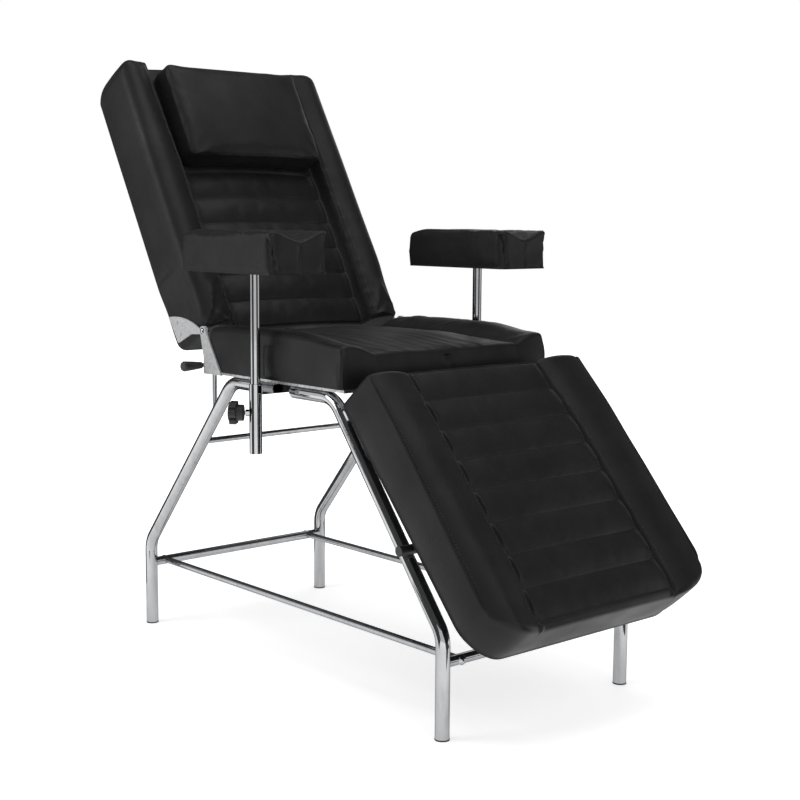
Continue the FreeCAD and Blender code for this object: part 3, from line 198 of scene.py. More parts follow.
coverFinish = {
    "deep": (0.0075, 0.0075, 0.008), "lifted": (0.015, 0.015, 0.0158),
    "dusty": (0.035, 0.035, 0.036), "dust": 0.22, "roughLow": 0.36, "roughHigh": 0.5,
    "specular": 0.18, "sheen": 0.02, "sheenRough": 0.4, "bump": 0.00035, "cloud": 6.0,
}


def makeCover(name, pebble, crease):
    material, tree, shader = startFinish(name)
    f = coverFinish
    grain = useGroup(tree, hideGrain, Pebble_Scale=pebble, Crease_Amount=crease)
    cloud = useGroup(tree, handling, Cloud_Scale=f["cloud"])["Cloud"]
    dust = mathNode(tree, "MULTIPLY", useGroup(tree, settledDust)["Dust"], f["dust"])
    base = mixColours(tree, cloud, f["deep"], f["lifted"])
    feed(tree, shader, Base_Color=mixColours(tree, dust, base, f["dusty"]),
         Roughness=rampNode(tree, cloud, 0.0, 1.0, f["roughHigh"], f["roughLow"]),
         Specular_IOR_Level=f["specular"], Sheen_Weight=f["sheen"],
         Sheen_Roughness=f["sheenRough"])
    addBump(tree, shader, grain["Height"], f["bump"], 0.55)
    return material


chromeFinish = {"clean": (0.43, 0.435, 0.445), "dull": (0.3, 0.305, 0.315),
                "edge": (0.45, 0.45, 0.46, 1.0), "rough": (0.05, 0.16), "dust": 0.1,
                "cloud": 16.0, "streak": 90.0, "patch": 40.0, "bump": 0.00002}


def makeChrome():
    material, tree, shader = startFinish("chromedTube")
    f = chromeFinish
    touch = useGroup(tree, handling, Cloud_Scale=f["cloud"], Streak_Scale=f["streak"])
    dust = useGroup(tree, settledDust, Patch_Scale=f["patch"])
    film = mathNode(tree, "MULTIPLY", touch["Streak"], touch["Cloud"])
    veil = mathNode(tree, "MULTIPLY", dust["Dust"], f["dust"])
    rough = mathNode(tree, "ADD", rampNode(tree, film, 0.0, 0.8, *f["rough"]), veil)
    feed(tree, shader, Base_Color=mixColours(tree, film, f["clean"], f["dull"]),
         Roughness=rough, Metallic=1.0, Specular_Tint=f["edge"])
    addBump(tree, shader, touch["Streak"], f["bump"], 0.4)
    return material


# finishes that handling has clouded and that are rubbed on their edges; grain 0 bumps by streaks
wornFinishes = {
    "greyPaint": {
        "plain": (0.46, 0.465, 0.47), "shade": (0.4, 0.405, 0.41), "bare": (0.62, 0.62, 0.63),
        "wear": 0.6, "reach": 0.06, "cloud": 25.0, "streak": 60.0, "roughBy": "Streak",
        "rough": (0.42, 0.56), "metal": 0.0, "grain": 700.0, "bump": 0.00008},
    "blackPlastic": {
        "plain": (0.012, 0.012, 0.012), "shade": (0.018, 0.018, 0.018),
        "bare": (0.0288, 0.0288, 0.0288), "wear": 0.5, "reach": 0.1, "cloud": 30.0,
        "streak": 60.0, "roughBy": "Cloud", "rough": (0.38, 0.5), "metal": 0.0,
        "grain": 900.0, "bump": 0.0001},
    "capRubber": {
        "plain": (0.014, 0.014, 0.014), "shade": (0.021, 0.021, 0.021),
        "bare": (0.0336, 0.0336, 0.0336), "wear": 0.5, "reach": 0.1, "cloud": 30.0,
        "streak": 60.0, "roughBy": "Cloud", "rough": (0.62, 0.74), "metal": 0.0,
        "grain": 500.0, "bump": 0.0001},
    "zincSteel": {
        "plain": (0.42, 0.42, 0.43), "shade": (0.3, 0.305, 0.32), "bare": (0.6, 0.6, 0.6),
        "wear": 1.0, "reach": 0.08, "cloud": 45.0, "streak": 200.0, "roughBy": "Streak",
        "rough": (0.32, 0.5), "metal": 1.0, "grain": 0.0, "bump": 0.00005},
}


def makeWorn(name):
    material, tree, shader = startFinish(name)
    f = wornFinishes[name]
    touch = useGroup(tree, handling, Cloud_Scale=f["cloud"], Streak_Scale=f["streak"])
    rub = useGroup(tree, edgeRub, Reach=f["reach"])
    base = mixColours(tree, touch["Cloud"], f["plain"], f["shade"])
    worn = mathNode(tree, "MULTIPLY", rub["Rub"], f["wear"])
    feed(tree, shader, Base_Color=mixColours(tree, worn, base, f["bare"]), Metallic=f["metal"],
         Roughness=rampNode(tree, touch[f["roughBy"]], 0.0, 1.0, *f["rough"]))
    grain = noiseNode(tree, objectSpace(tree), f["grain"], 2.0) if f["grain"] else None
    addBump(tree, shader, grain or touch["Streak"], f["bump"], 0.5)
    return material


linerFinish = {"deep": (0.012, 0.012, 0.012), "lifted": (0.022, 0.022, 0.023),
               "rough": (0.82, 0.94), "specular": 0.2, "fibres": 520.0, "bump": 0.0002}


def makeLiner():
    # spun liner cloth stapled under the boards
    material, tree, shader = startFinish("linerCloth")
    f = linerFinish
    fibres = addNode(tree, "TexVoronoi", feature="DISTANCE_TO_EDGE", Vector=objectSpace(tree),
                     Scale=f["fibres"])
    cloud = useGroup(tree, handling, Cloud_Scale=12.0)["Cloud"]
    feed(tree, shader, Base_Color=mixColours(tree, cloud, f["deep"], f["lifted"]),
         Roughness=rampNode(tree, cloud, 0.0, 1.0, *f["rough"]),
         Specular_IOR_Level=f["specular"])
    addBump(tree, shader, fibres.outputs["Distance"], f["bump"], 0.6)
    return material


plyFinish = {"deep": (0.02, 0.016, 0.013), "lifted": (0.045, 0.036, 0.028),
             "rough": (0.6, 0.78), "rings": 28.0, "bump": 0.0002}


def makePlywood():
    material, tree, shader = startFinish("stainedPly")
    f = plyFinish
    rings = addNode(tree, "TexWave", wave_type="BANDS", bands_direction="Y",
                    Vector=objectSpace(tree), Scale=f["rings"], Distortion=5.0,
                    Detail=3.0).outputs["Fac"]
    cloud = useGroup(tree, handling)["Cloud"]
    feed(tree, shader, Base_Color=mixColours(tree, rings, f["deep"], f["lifted"]),
         Roughness=rampNode(tree, cloud, 0.0, 1.0, *f["rough"]))
    addBump(tree, shader, rings, f["bump"], 0.4)
    return material


threadFinish = {"deep": (0.02, 0.02, 0.021), "lifted": (0.045, 0.045, 0.047),
                "rough": (0.5, 0.65), "twist": 900.0, "bump": 0.0001}


def makeThread():
    material, tree, shader = startFinish("sewingThread")
    f = threadFinish
    twist = addNode(tree, "TexWave", wave_type="BANDS", bands_direction="DIAGONAL",
                    Vector=objectSpace(tree), Scale=f["twist"]).outputs["Fac"]
    feed(tree, shader, Base_Color=mixColours(tree, twist, f["deep"], f["lifted"]),
         Roughness=rampNode(tree, twist, 0.0, 1.0, *f["rough"]))
    addBump(tree, shader, twist, f["bump"], 0.5)
    return material


coverTop = makeCover("coverTop", 620.0, 0.35)
coverSide = makeCover("coverSide", 700.0, 0.2)
linerCloth = makeLiner()
sewingThread = makeThread()
slotFinish = {"chromed_tube": makeChrome(), "grey_paint": makeWorn("greyPaint"),
              "black_plastic": makeWorn("blackPlastic"), "upholstery": coverSide,
              "plywood": makePlywood(), "plain_steel": makeWorn("zincSteel"),
              "foot_rubber": makeWorn("capRubber")}
print("finishes built")

for part in frame["record"]["subparts"]:  # the frame's own nodes keep their mesh
    node = nodes[part["node"]]
    node.data.materials.clear()
    node.data.materials.append(slotFinish[part["material_slot"]])
print("frame nodes finished")


def linesThrough(marks, pitch):
    # grid lines through the marks and no further apart than the pitch
    marks = sorted(set(round(mark, 5) for mark in marks))
    lines = []
    for near, far in zip(marks, marks[1:]):
        count = max(1, math.ceil((far - near) / pitch - 0.01))
        lines += [near + (far - near) * k / count for k in range(count)]
    return lines + [marks[-1]]


def around(place, steps):
    return [place + step for step in steps] + [place - step for step in steps] + [place]


def groove(offset, width):
    return math.exp(-(offset / width) ** 2)


def easeUp(share):
    share = min(1.0, max(0.0, share))
    return share * share * (3 - 2 * share)


def coverMesh(name, xs, ys, zs, inner, place):
    # the closed skin of a lattice box; the part of its underside inside "inner" is one flat face
    nx, ny, nz = len(xs) - 1, len(ys) - 1, len(zs) - 1
    i0 = next(i for i, x in enumerate(xs) if x >= inner[0] - 1e-6)
    i1 = max(i for i, x in enumerate(xs) if x <= inner[1] + 1e-6)
    j0 = next(j for j, y in enumerate(ys) if y >= inner[2] - 1e-6)
    j1 = max(j for j, y in enumerate(ys) if y <= inner[3] + 1e-6)
    index, spots, keys = {}, [], []

    def spot(i, j, k):
        if (i, j, k) not in index:
            index[i, j, k] = len(spots)
            spots.append(place(xs[i], ys[j], zs[k]))
            keys.append((xs[i], ys[j], zs[k]))
        return index[i, j, k]

    faces, slots = [], []

    def quad(slot, *corners):
        faces.append([spot(*corner) for corner in corners])
        slots.append(slot)

    for i in range(nx):
        for j in range(ny):
            quad(0, (i, j, nz), (i + 1, j, nz), (i + 1, j + 1, nz), (i, j + 1, nz))
            if not (i0 <= i < i1 and j0 <= j < j1):
                quad(1, (i, j + 1, 0), (i + 1, j + 1, 0), (i + 1, j, 0), (i, j, 0))
    for k in range(nz):
        for i in range(nx):
            quad(1, (i, 0, k), (i + 1, 0, k), (i + 1, 0, k + 1), (i, 0, k + 1))
            quad(1, (i + 1, ny, k), (i, ny, k), (i, ny, k + 1), (i + 1, ny, k + 1))
        for j in range(ny):
            quad(1, (0, j + 1, k), (0, j, k), (0, j, k + 1), (0, j + 1, k + 1))
            quad(1, (nx, j, k), (nx, j + 1, k), (nx, j + 1, k + 1), (nx, j, k + 1))
    rim = ([spot(i, j0, 0) for i in range(i0, i1)] + [spot(i1, j, 0) for j in range(j0, j1)]
           + [spot(i, j1, 0) for i in range(i1, i0, -1)]
           + [spot(i0, j, 0) for j in range(j1, j0, -1)])
    faces.append(rim[::-1])
    slots.append(2)
    mesh = bpy.data.meshes.new(name)
    mesh.from_pydata(spots, [], faces)
    mesh.update()
    for finish in (coverTop, coverSide, linerCloth):
        mesh.materials.append(finish)
    for polygon, slot in zip(mesh.polygons, slots):
        polygon.material_index = slot
        polygon.use_smooth = slot != 2
    cover = bpy.data.objects.new(name, mesh)
    scene.collection.objects.link(cover)
    return cover, keys


def fallOff(inward, radius):
    # how far a rounded edge has dropped at a distance in from it
    if radius <= 0 or inward >= radius:
        return 0.0
    return radius - math.sqrt(max(0.0, radius ** 2 - (radius - inward) ** 2))


def padEdge(form, x, y):
    # rounds the square corner of a lattice; gives the point, its outward way and its drop
    length, half = form["length"], form["half"]
    far = x > length / 2
    radius = form["farRound"] if far else form["nearRound"]
    endFall = form["farFall"] if far else form["nearFall"]
    if not far and "endShare" in form:
        endFall *= form["endShare"](y)
    middle = length - radius if far else radius
    forward = 1.0 if far else -1.0
    side = 1.0 if y >= 0 else -1.0
    dx, dy = (x - middle) * forward, abs(y) - (half - radius)
    if dx > 0 and dy > 0:
        reach, apart = max(dx, dy), math.hypot(dx, dy)
        ratio = reach / apart
        wayX, wayY = dx / apart, dy / apart
        edge = endFall * wayX ** 2 + form["sideFall"] * wayY ** 2
        return (middle + forward * dx * ratio, side * (half - radius + dy * ratio),
                forward * wayX, side * wayY, fallOff(radius - reach, edge))
    fall = fallOff(min(x, length - x), endFall) + fallOff(half - abs(y), form["sideFall"])
    if half - abs(y) <= min(x, length - x):
        return x, y, 0.0, side, fall
    return x, y, forward, 0.0, fall


def placeOnPad(form, x, y, t):
    # where a lattice point of a pad goes: t is 0 on the underside and 1 on top
    px, py, outX, outY, fall = padEdge(form, x, y)
    top = form["top"](px, py) - fall
    low = form["low"](px, py)
    out = form["wall"](px, py, t, outX, outY) if 0.0 < t < 1.0 else 0.0
    height = top if t >= 1.0 else low + t * (top - low)
    spot = Vector((px + outX * out, py + outY * out, height))
    if "warp" in form:
        spot = form["warp"](spot, t)
    return spot + Vector((form["start"], form.get("middle", 0.0), 0))


def crinkle(a, b, seed):
    # sharp little folds, 0 to 1, from two coordinates that are already scaled
    return 1 - min(1.0, abs(noise.noise(Vector((a, b, seed)))) * 3.2)


clothRun = {
    "quality": 3, "mass": 0.25, "tension_stiffness": 12, "compression_stiffness": 12,
    "shear_stiffness": 6, "bending_stiffness": 0.15, "tension_damping": 8,
    "compression_damping": 8, "use_pressure": True, "vertex_group_mass": "pins",
}
clothFrames = 14


def settle(cover, keys, form, hold):
    # a short cloth run: the cover fills out between its seams and wrinkles as it does
    mesh = cover.data
    start = [vertex.co.copy() for vertex in mesh.vertices]
    pins = cover.vertex_groups.new(name="pins")
    for number, key in enumerate(keys):
        pins.add([number], hold(*key), "REPLACE")
    cloth = cover.modifiers.new("fill", "CLOTH")
    for field, value in clothRun.items():
        setattr(cloth.settings, field, value)
    cloth.settings.uniform_pressure_force = form["puff"]
    cloth.settings.shrink_min = -form["slack"]
    cloth.settings.effector_weights.gravity = 0.0
    cloth.collision_settings.use_collision = False
    cloth.collision_settings.use_self_collision = False
    cloth.point_cache.frame_start = 1
    cloth.point_cache.frame_end = clothFrames
    for step in range(1, clothFrames + 1):
        scene.frame_set(step)
    settled = cover.evaluated_get(bpy.context.evaluated_depsgraph_get())
    moved = [vertex.co.copy() for vertex in settled.data.vertices]
    cover.modifiers.remove(cloth)
    cover.vertex_groups.remove(pins)
    scene.frame_set(1)
    most = form["travel"]
    for vertex, before, after in zip(mesh.vertices, start, moved):
        step = after - before
        if step.length > most:
            step = step * (most / step.length)
        vertex.co = before + step
    mesh.update()


def finishPad(cover, body, replaced, placing=None):
    smooth = cover.modifiers.new("smooth", "SUBSURF")
    smooth.levels = 1
    smooth.render_levels = smooth.levels
    if placing is not None:
        cover.data.transform(placing)
    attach(cover, body)
    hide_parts(*replaced)


stitch = {"long": 0.0046, "gap": 0.0024, "width": 0.0011, "lift": 0.0003, "sides": 6,
          "rings": ((0.0, 0.35), (0.15, 0.85), (0.5, 1.0), (0.85, 0.85), (1.0, 0.35))}


def stitchRow(name, path, body, placing=None):
    # short raised threads along a path of (point, normal), each a small rounded bead
    stitchLong, width, sides = stitch["long"], stitch["width"], stitch["sides"]
    spots, faces, lengths = [], [], [0.0]
    for (a, _), (b, _) in zip(path, path[1:]):
        lengths.append(lengths[-1] + (b - a).length)
    total, at = lengths[-1], stitchLong

    def along(distance):
        for k in range(len(path) - 1):
            if lengths[k + 1] >= distance:
                span = lengths[k + 1] - lengths[k]
                share = (distance - lengths[k]) / span if span > 0 else 0.0
                return (path[k][0].lerp(path[k + 1][0], share),
                        path[k][1].lerp(path[k + 1][1], share))
        return path[-1]

    while at + stitchLong < total:
        rings = []
        for share, size in stitch["rings"]:
            here, up = along(at + stitchLong * share)
            ahead, _ = along(at + stitchLong * share + 0.0008)
            across = (ahead - here).normalized().cross(up).normalized()
            rise = math.sin(math.pi * share) * width * 0.35 + stitch["lift"]
            ring = []
            for k in range(sides):
                angle = 2 * math.pi * k / sides
                ring.append(len(spots))
                spots.append(here + up * (rise + math.sin(angle) * width * 0.5 * size)
                             + across * (math.cos(angle) * width * 0.5 * size))
            rings.append(ring)
        for a, b in zip(rings, rings[1:]):
            for k in range(sides):
                faces.append([a[k], a[(k + 1) % sides], b[(k + 1) % sides], b[k]])
        faces.append(rings[0][::-1])
        faces.append(rings[-1])
        at += stitchLong + stitch["gap"]
    mesh = bpy.data.meshes.new(name)
    mesh.from_pydata(spots, [], faces)
    mesh.polygons.foreach_set("use_smooth", [True] * len(mesh.polygons))
    mesh.materials.append(sewingThread)
    if placing is not None:
        mesh.transform(placing)
    row = bpy.data.objects.new(name, mesh)
    scene.collection.objects.link(row)
    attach(row, body)


def nearestLine(lines, value):
    return min(lines, key=lambda line: abs(line - value))


def pathOn(cover, keys, wanted, order):
    # the cover's own points and normals that pass a test, in order
    found = []
    for vertex, key in zip(cover.data.vertices, keys):
        if wanted(*key):
            found.append((order(*key), vertex.co.copy(), vertex.normal.copy()))
    found.sort(key=lambda item: item[0])
    return [(co, normal) for _, co, normal in found]


def stitchAlong(name, cover, keys, line, span, body, placing):
    # a row on top of a cover, along one of its lattice lines
    path = pathOn(cover, keys, lambda x, y, t: t >= 1.0 and abs(y - line) < 1e-6
                  and span[0] < x < span[1], lambda x, y, t: x)
    stitchRow(name, path, body, placing)


wallShares = [0, 0.04, 0.12, 0.25, 0.4, 0.55, 0.7, 0.82, 0.92, 0.97, 1]  # lattice, up a wall
rimAngles = (0, 18, 34, 50, 68, 90)


def rimLines(length, falls):
    # fine lattice lines at the two ends of a span, for its rounded edges
    marks = []
    for fall, where in zip(falls, (0, length)):
        sign = 1 if where == 0 else -1
        marks += [where + sign * fall * (1 - math.cos(math.radians(a))) for a in rimAngles]
    return marks


def rimAcross(half, fall):
    return [mark - half for mark in rimLines(2 * half, (fall, fall))]


def sewCover(name, form, marks, cross, inner=0.03, shares=wallShares):
    # a cover on its lattice: its object, its keys and its lines along and across
    length, half = form["length"], form["half"]
    if isinstance(inner, float):
        inner = (inner, length - 0.03, -half + 0.03, half - 0.03)
    xs = linesThrough([m for m in marks if 0 <= m <= length], form["pitch"])
    ys = linesThrough([c for c in cross if abs(c) <= half], form.get("across", form["pitch"]))
    cover, keys = coverMesh(name, xs, ys, shares, inner,
                            lambda x, y, t: placeOnPad(form, x, y, t))
    return cover, keys, xs, ys


# leg rest: two bolsters with crosswise channels between them; lengths run down from its hinge

legRest = {
    "start": 0.003, "length": 0.612, "half": 0.313, "nearRound": 0.014, "farRound": 0.088,
    "nearFall": 0.012, "farFall": 0.014, "sideFall": 0.0025,
    "underside": 0.0075, "edge": 0.1185, "edgeDrop": 0.022, "crest": 0.1325, "panel": 0.1125,
    "seam": 0.2, "channels": 8, "channelDeep": 0.0045, "seamDeep": 0.0055, "bulge": 0.0015,
    "puff": 1.8, "travel": 0.003, "slack": 0.004, "fill": 0.85, "nearCrest": 0.127,
    "pitch": 0.0115, "first": 0.004, "last": 0.596, "farSeam": 0.007, "farSeamTop": 0.012,
    "nearFlare": 0.013, "crestShare": 0.55, "lip": 0.006, "hinge": (0.2685, 0, 0.650),
    "hang": 49,
}


def channelPitch(form):
    return (form["last"] - form["first"]) / form["channels"]


def channelShape(form, x):
    # 0 on a channel's seam and 1 in its middle
    place = (x - form["first"]) / channelPitch(form)
    if place <= 0 or place >= form["channels"]:
        return 1.0
    return math.sin(math.pi * (place - math.floor(place))) ** 0.5


def nearChannel(form, x, width):
    # 1 on a channel's seam, falling off within the width
    pitch = channelPitch(form)
    place = (x - form["first"]) / pitch
    return groove((place - round(place)) * pitch, width)


def channelMarks(form):
    marks = []
    for k in range(form["channels"] + 1):
        marks += around(form["first"] + k * channelPitch(form), (0.0022, 0.006))
    return marks


def legTop(x, y):
    f = legRest
    off = abs(y) - f["seam"]
    place = (x - f["first"]) / channelPitch(f)
    lobe = channelShape(f, x)
    if off < 0:
        flat = f["panel"] + 0.003 * (1 - (y / f["seam"]) ** 2)
        height = flat + f["channelDeep"] * (lobe - 1) * easeUp(-off / 0.03 + 0.3)
        height -= 0.0005 * crinkle(x * 30, y * 9, 4.0) * (1 - lobe)
    else:
        out = off / (f["half"] - f["seam"])
        edge = f["edge"] - (f["edgeDrop"] * min(1.0, x / 0.53) if y < 0 else -0.004)
        crest = f["nearCrest"] if y < 0 else f["crest"]
        if out < f["crestShare"]:
            rise = math.sin(math.pi / 2 * out / f["crestShare"]) ** 0.8
            height = f["panel"] + (crest - f["panel"]) * rise
        else:
            part = (out - f["crestShare"]) / (1 - f["crestShare"])
            height = crest + (edge - crest) * part ** 1.7
        height += 0.0008 * noise.noise(Vector((x * 11, y * 14, 7.0)))
    share = place - math.floor(place)
    lip = f["lip"] * easeUp(share / 0.14) * easeUp((0.8 - share) / 0.1)
    height += lip * groove(off + 0.0058, 0.003)
    deep = f["seamDeep"] * (0.5 if y < 0 else 1.0)
    height -= deep * (1 - 0.25 * lobe) * groove(off, 0.0032)
    inward = f["half"] - abs(y)
    height += 0.0026 * groove(inward - 0.0015, 0.0024) - 0.0036 * groove(inward - 0.007, 0.0028)
    return height * (1 - 0.05 * easeUp(1 - x / 0.16)) if x < 0.16 else height


def legWall(x, y, t, outX, outY):
    f = legRest
    bulge = f["bulge"] * math.sin(math.pi * t) - 0.003 * (1 - t) ** 6
    folds = 0.0009 * noise.noise(Vector((x * 9, y * 9, t * 1.3 + 5.0)))
    return (bulge + folds * math.sin(math.pi * t)) * (0.0 if outX < -0.5 else 1.0)


def legWarp(spot, t):
    # the seams run a little out of line, as sewn
    f = legRest
    aside = abs(spot.y)
    near = easeUp((aside - 0.08) / 0.1) * easeUp((f["half"] - 0.01 - aside) / 0.08)
    if spot.y > 0:
        spot.y -= (f["farSeam"] + f["farSeamTop"] * easeUp(1 - spot.x / 0.25)) * near
    else:
        spot.y -= f["nearFlare"] * easeUp((spot.x - 0.45) / 0.13) * near
    return spot


legRest.update(top=legTop, low=lambda x, y: legRest["underside"], wall=legWall, warp=legWarp)


def buildLegRest():
    f = legRest
    length, half = f["length"], f["half"]
    marks = rimLines(length, (f["nearFall"], f["farFall"])) + channelMarks(f)
    cross = rimAcross(half, f["sideFall"])
    for sign in (-1, 1):
        cross += around(sign * f["seam"], (0.0016, 0.0035, 0.0058, 0.0082, 0.012))
        cross += [sign * (half - step) for step in (0.0015, 0.0043, 0.0065, 0.0088)]
    cover, keys, _, ys = sewCover("legRestCover", f, marks, cross)

    def hold(x, y, t):
        if t < 1.0:
            return 1.0 if t < 0.1 or x < 0.02 else 0.75
        if abs(y) > f["seam"] + 0.01:
            return 0.9
        atSeam = groove(abs(y) - f["seam"], 0.005)
        atChannel = nearChannel(f, x, 0.004) if abs(y) < f["seam"] else 0
        edge = groove(min(x, length - x, half - abs(y)), 0.012)
        return min(1.0, max(atSeam, atChannel, edge))

    settle(cover, keys, f, hold)
    placing = (Matrix.Translation(f["hinge"])
               @ Matrix.Rotation(math.radians(f["hang"]), 4, "Y"))
    seamSpan, ridgeSpan = (0.02, length - 0.02), (0.03, length - 0.1)
    for word, where, span in (
            ("SeamRight", -f["seam"] - 0.0095, seamSpan),
            ("SeamLeft", f["seam"] + 0.0095, seamSpan),
            ("SeamLeftInner", f["seam"] - 0.0095, seamSpan),
            ("RidgeRight", -half + 0.0088, ridgeSpan), ("RidgeLeft", half - 0.0088, ridgeSpan)):
        stitchAlong("legRest" + word, cover, keys, nearestLine(ys, where), span, "leg_rest",
                    placing)
    finishPad(cover, "leg_rest", ("leg_rest_cushion", "leg_rest_board"), placing)


buildLegRest()
print("leg rest sewn")


# back: two bolsters with a sewn panel sunk between them; lengths run down to its pivot

backRest = {
    "start": -0.748, "length": 0.740, "half": 0.2996, "nearRound": 0.045, "farRound": 0.022,
    "nearFall": 0.030, "farFall": 0.016, "sideFall": 0.006,
    "underside": -0.126, "edge": -0.020, "crest": 0.020, "lip": 0.006, "seam": 0.216,
    "foot": 0.199, "panel": -0.015, "hollow": -0.027, "channels": 6, "channelDeep": 0.0075,
    "puff": 1.8, "travel": 0.003, "slack": 0.004, "fill": 0.8,
    "pitch": 0.0115, "first": 0.302, "last": 0.736, "wide": 0.005, "crestShare": 0.55,
    "past": 0.008, "dart": 0.185, "pivot": (-0.244, 0, 0.768), "lean": 60,
}


def gather(u, side, spread, waves, seed):
    # folds that fan out from a point where a cover is drawn together
    reach = math.hypot(u, side)
    if reach > spread or reach < 1e-4:
        return 0.0
    angle = math.atan2(side, max(u, 1e-4))
    wobble = noise.noise(Vector((u * 14, side * 14, seed)))
    wave = (1 - abs(math.sin((angle * waves + wobble * 2.2) / 2))) ** 1.8
    strong = 0.6 + 0.8 * noise.noise(Vector((angle * 3, seed, 0.5)))
    return (wave * 1.7 - 0.4) * strong * easeUp(reach / (0.2 * spread)) * easeUp(
        (spread - reach) / (0.75 * spread))


def panelHeight(y):
    f = backRest
    return f["panel"] + (f["hollow"] - f["panel"]) * (abs(y) / f["foot"]) ** 2.4


def backTop(x, y):
    f = backRest
    u = f["length"] + f["past"] - x
    off = abs(y) - f["foot"]
    lobe = channelShape(f, x) if x > f["first"] else 1.0
    if off <= 0:
        height = panelHeight(y) + 0.001
        height += f["channelDeep"] * (lobe - 1) * easeUp(-off / 0.03 + 0.25)
        height += 0.0035 * (lobe - 0.4) * groove(off + 0.008, 0.007) * (x > f["first"])
        height += 0.0006 * noise.noise(Vector((x * 10, y * 22, 2.0)))
        return height
    width = f["half"] - f["seam"]
    share = (abs(y) - f["seam"]) / width
    pucker = crinkle(x * 42, y * 10, 7.0)
    if share < 0:
        rise = easeUp(off / (f["seam"] - f["foot"]))
        height = f["hollow"] + 0.001 + (f["lip"] - f["hollow"]) * rise
        height += 0.0022 * pucker * rise
    elif share < f["crestShare"]:
        rise = math.sin(math.pi / 2 * share / f["crestShare"])
        height = f["lip"] + (f["crest"] - f["lip"]) * rise
    else:
        part = (share - f["crestShare"]) / (1 - f["crestShare"])
        height = f["edge"] + (f["crest"] - f["edge"]) * math.sqrt(max(0.0, 1 - part ** 2))
    height -= 0.0026 * groove(abs(y) - f["seam"] - 0.001, 0.0026)
    height += 0.0026 * pucker * groove(abs(y) - f["seam"] - 0.006, 0.006)
    height += 0.0011 * noise.noise(Vector((x * 5.5, y * 16, 1.0))) * easeUp(share * 4)
    folds = gather(u, abs(y) - 0.300, 0.2, 15.0, 3.0) if u < 0.2 else 0.0
    inner = gather(u, abs(y) - 0.206, 0.15, 13.0, 8.0) if u < 0.15 else 0.0
    height += (0.0036 * folds + 0.003 * inner) * easeUp(share * 5)
    return height


def backWall(x, y, t, outX, outY):
    f = backRest
    u = f["length"] + f["past"] - x
    n = f["underside"] + t * (f["edge"] - f["underside"])
    free = easeUp((u - 0.1) / 0.06) * abs(outY)
    bulge = 0.0022 * math.sin(math.pi * t) * free
    bulge += 0.0012 * noise.noise(Vector((x * 7, t * 2.2, 6.0 if y > 0 else 9.0))) * free
    bulge += 0.0036 * gather(u, n + 0.02, 0.22, 15.0, 3.0) * math.sin(math.pi * t) * easeUp(
        (u - 0.03) / 0.05) * (1.0 if n > -0.05 or u > 0.12 else 0.0)
    within = easeUp(t / 0.06) * easeUp((0.92 - t) / 0.06)
    bulge -= 0.0022 * groove(u - f["dart"], 0.003) * within * free
    return bulge


def backWarp(spot, t):
    # wider above the hinge plates, and rounded off behind its top end
    f = backRest
    u = f["length"] + f["past"] - spot.x
    aside = abs(spot.y)
    if spot.y < 0:
        spot.y -= 0.009 * easeUp((u - 0.44) / 0.26) * easeUp((aside - 0.12) / 0.07) * easeUp(
            (f["half"] - aside) / 0.06)
    spot.y *= 1 + f["wide"] / f["half"] * easeUp((u - 0.098) / 0.08)
    deep = spot.z - f["underside"]
    behind = fallOff(max(0.0, deep), 0.026)
    spot.x += behind * easeUp(1 - spot.x / 0.07)
    return spot


backRest.update(top=backTop, low=lambda x, y: backRest["underside"], wall=backWall,
                warp=backWarp, endShare=lambda y: 0.4 + 0.6 * easeUp((abs(y) - 0.2) / 0.05))
backPlacing = (Matrix.Translation(backRest["pivot"])
               @ Matrix.Rotation(math.radians(backRest["lean"]), 4, "Y"))


def buildBack():
    f = backRest
    length, half, dart = f["length"], f["half"], f["dart"]
    marks = rimLines(length, (f["nearFall"], f["farFall"])) + channelMarks(f)
    marks += [length + f["past"] - u for u in (0.098, 0.12, dart - 0.005, dart, dart + 0.005)]
    marks += [length - 0.006 * k for k in range(4, 18)]
    cross = rimAcross(half, 0.022)
    for sign in (-1, 1):
        cross += [sign * (half - 0.0028), sign * (half - 0.006)]
        cross += [sign * (f["foot"] + (f["seam"] - f["foot"]) * k / 5) for k in range(6)]
        cross += around(sign * (f["seam"] + 0.001), (0.0026, 0.006, 0.01))
        cross += [sign * (f["foot"] - step) for step in (0.0035, 0.008, 0.014, 0.022)]
        cross += [sign * (f["seam"] + 0.0065 * k) for k in range(2, 12)]
    cover, keys, _, ys = sewCover("backCover", f, marks, cross, 0.05)

    def hold(x, y, t):
        u = length + f["past"] - x
        if t < 1.0:
            return 1.0 if t < 0.1 or u < 0.12 else 0.8
        if u < 0.02 or (u < 0.12 and abs(y) > half - 0.03):
            return 1.0
        if abs(y) > f["seam"] + 0.01:
            return 0.9
        atFoot = groove(abs(y) - f["foot"], 0.008)
        atSeam = groove(abs(y) - f["seam"], 0.005)
        place = (x - f["first"]) / channelPitch(f)
        onPanel = abs(y) < f["foot"]
        atChannel = nearChannel(f, x, 0.004) if onPanel and place > -0.3 else 0
        under = 1.0 if onPanel and place < -0.1 else 0.0  # under the head pillow
        return min(1.0, max(atSeam, atFoot, atChannel, under))

    settle(cover, keys, f, hold)
    for word, where in (("Right", -f["seam"] - 0.007), ("Left", f["seam"] + 0.007)):
        stitchAlong("backSeam" + word, cover, keys, nearestLine(ys, where),
                    (0.03, length - 0.03), "back", backPlacing)
    for word, side in (("Right", -1), ("Left", 1)):
        beside = length + f["past"] - (dart + 0.0045)
        path = [(placeOnPad(f, beside, side * half, 0.07 + 0.8 * k / 24), Vector((0, side, 0)))
                for k in range(25)]
        stitchRow("backDart" + word, path, "back", backPlacing)
    finishPad(cover, "back", ("back_cushion", "back_board"), backPlacing)


buildBack()
print("back sewn")


# head pillow, lying on the back's panel

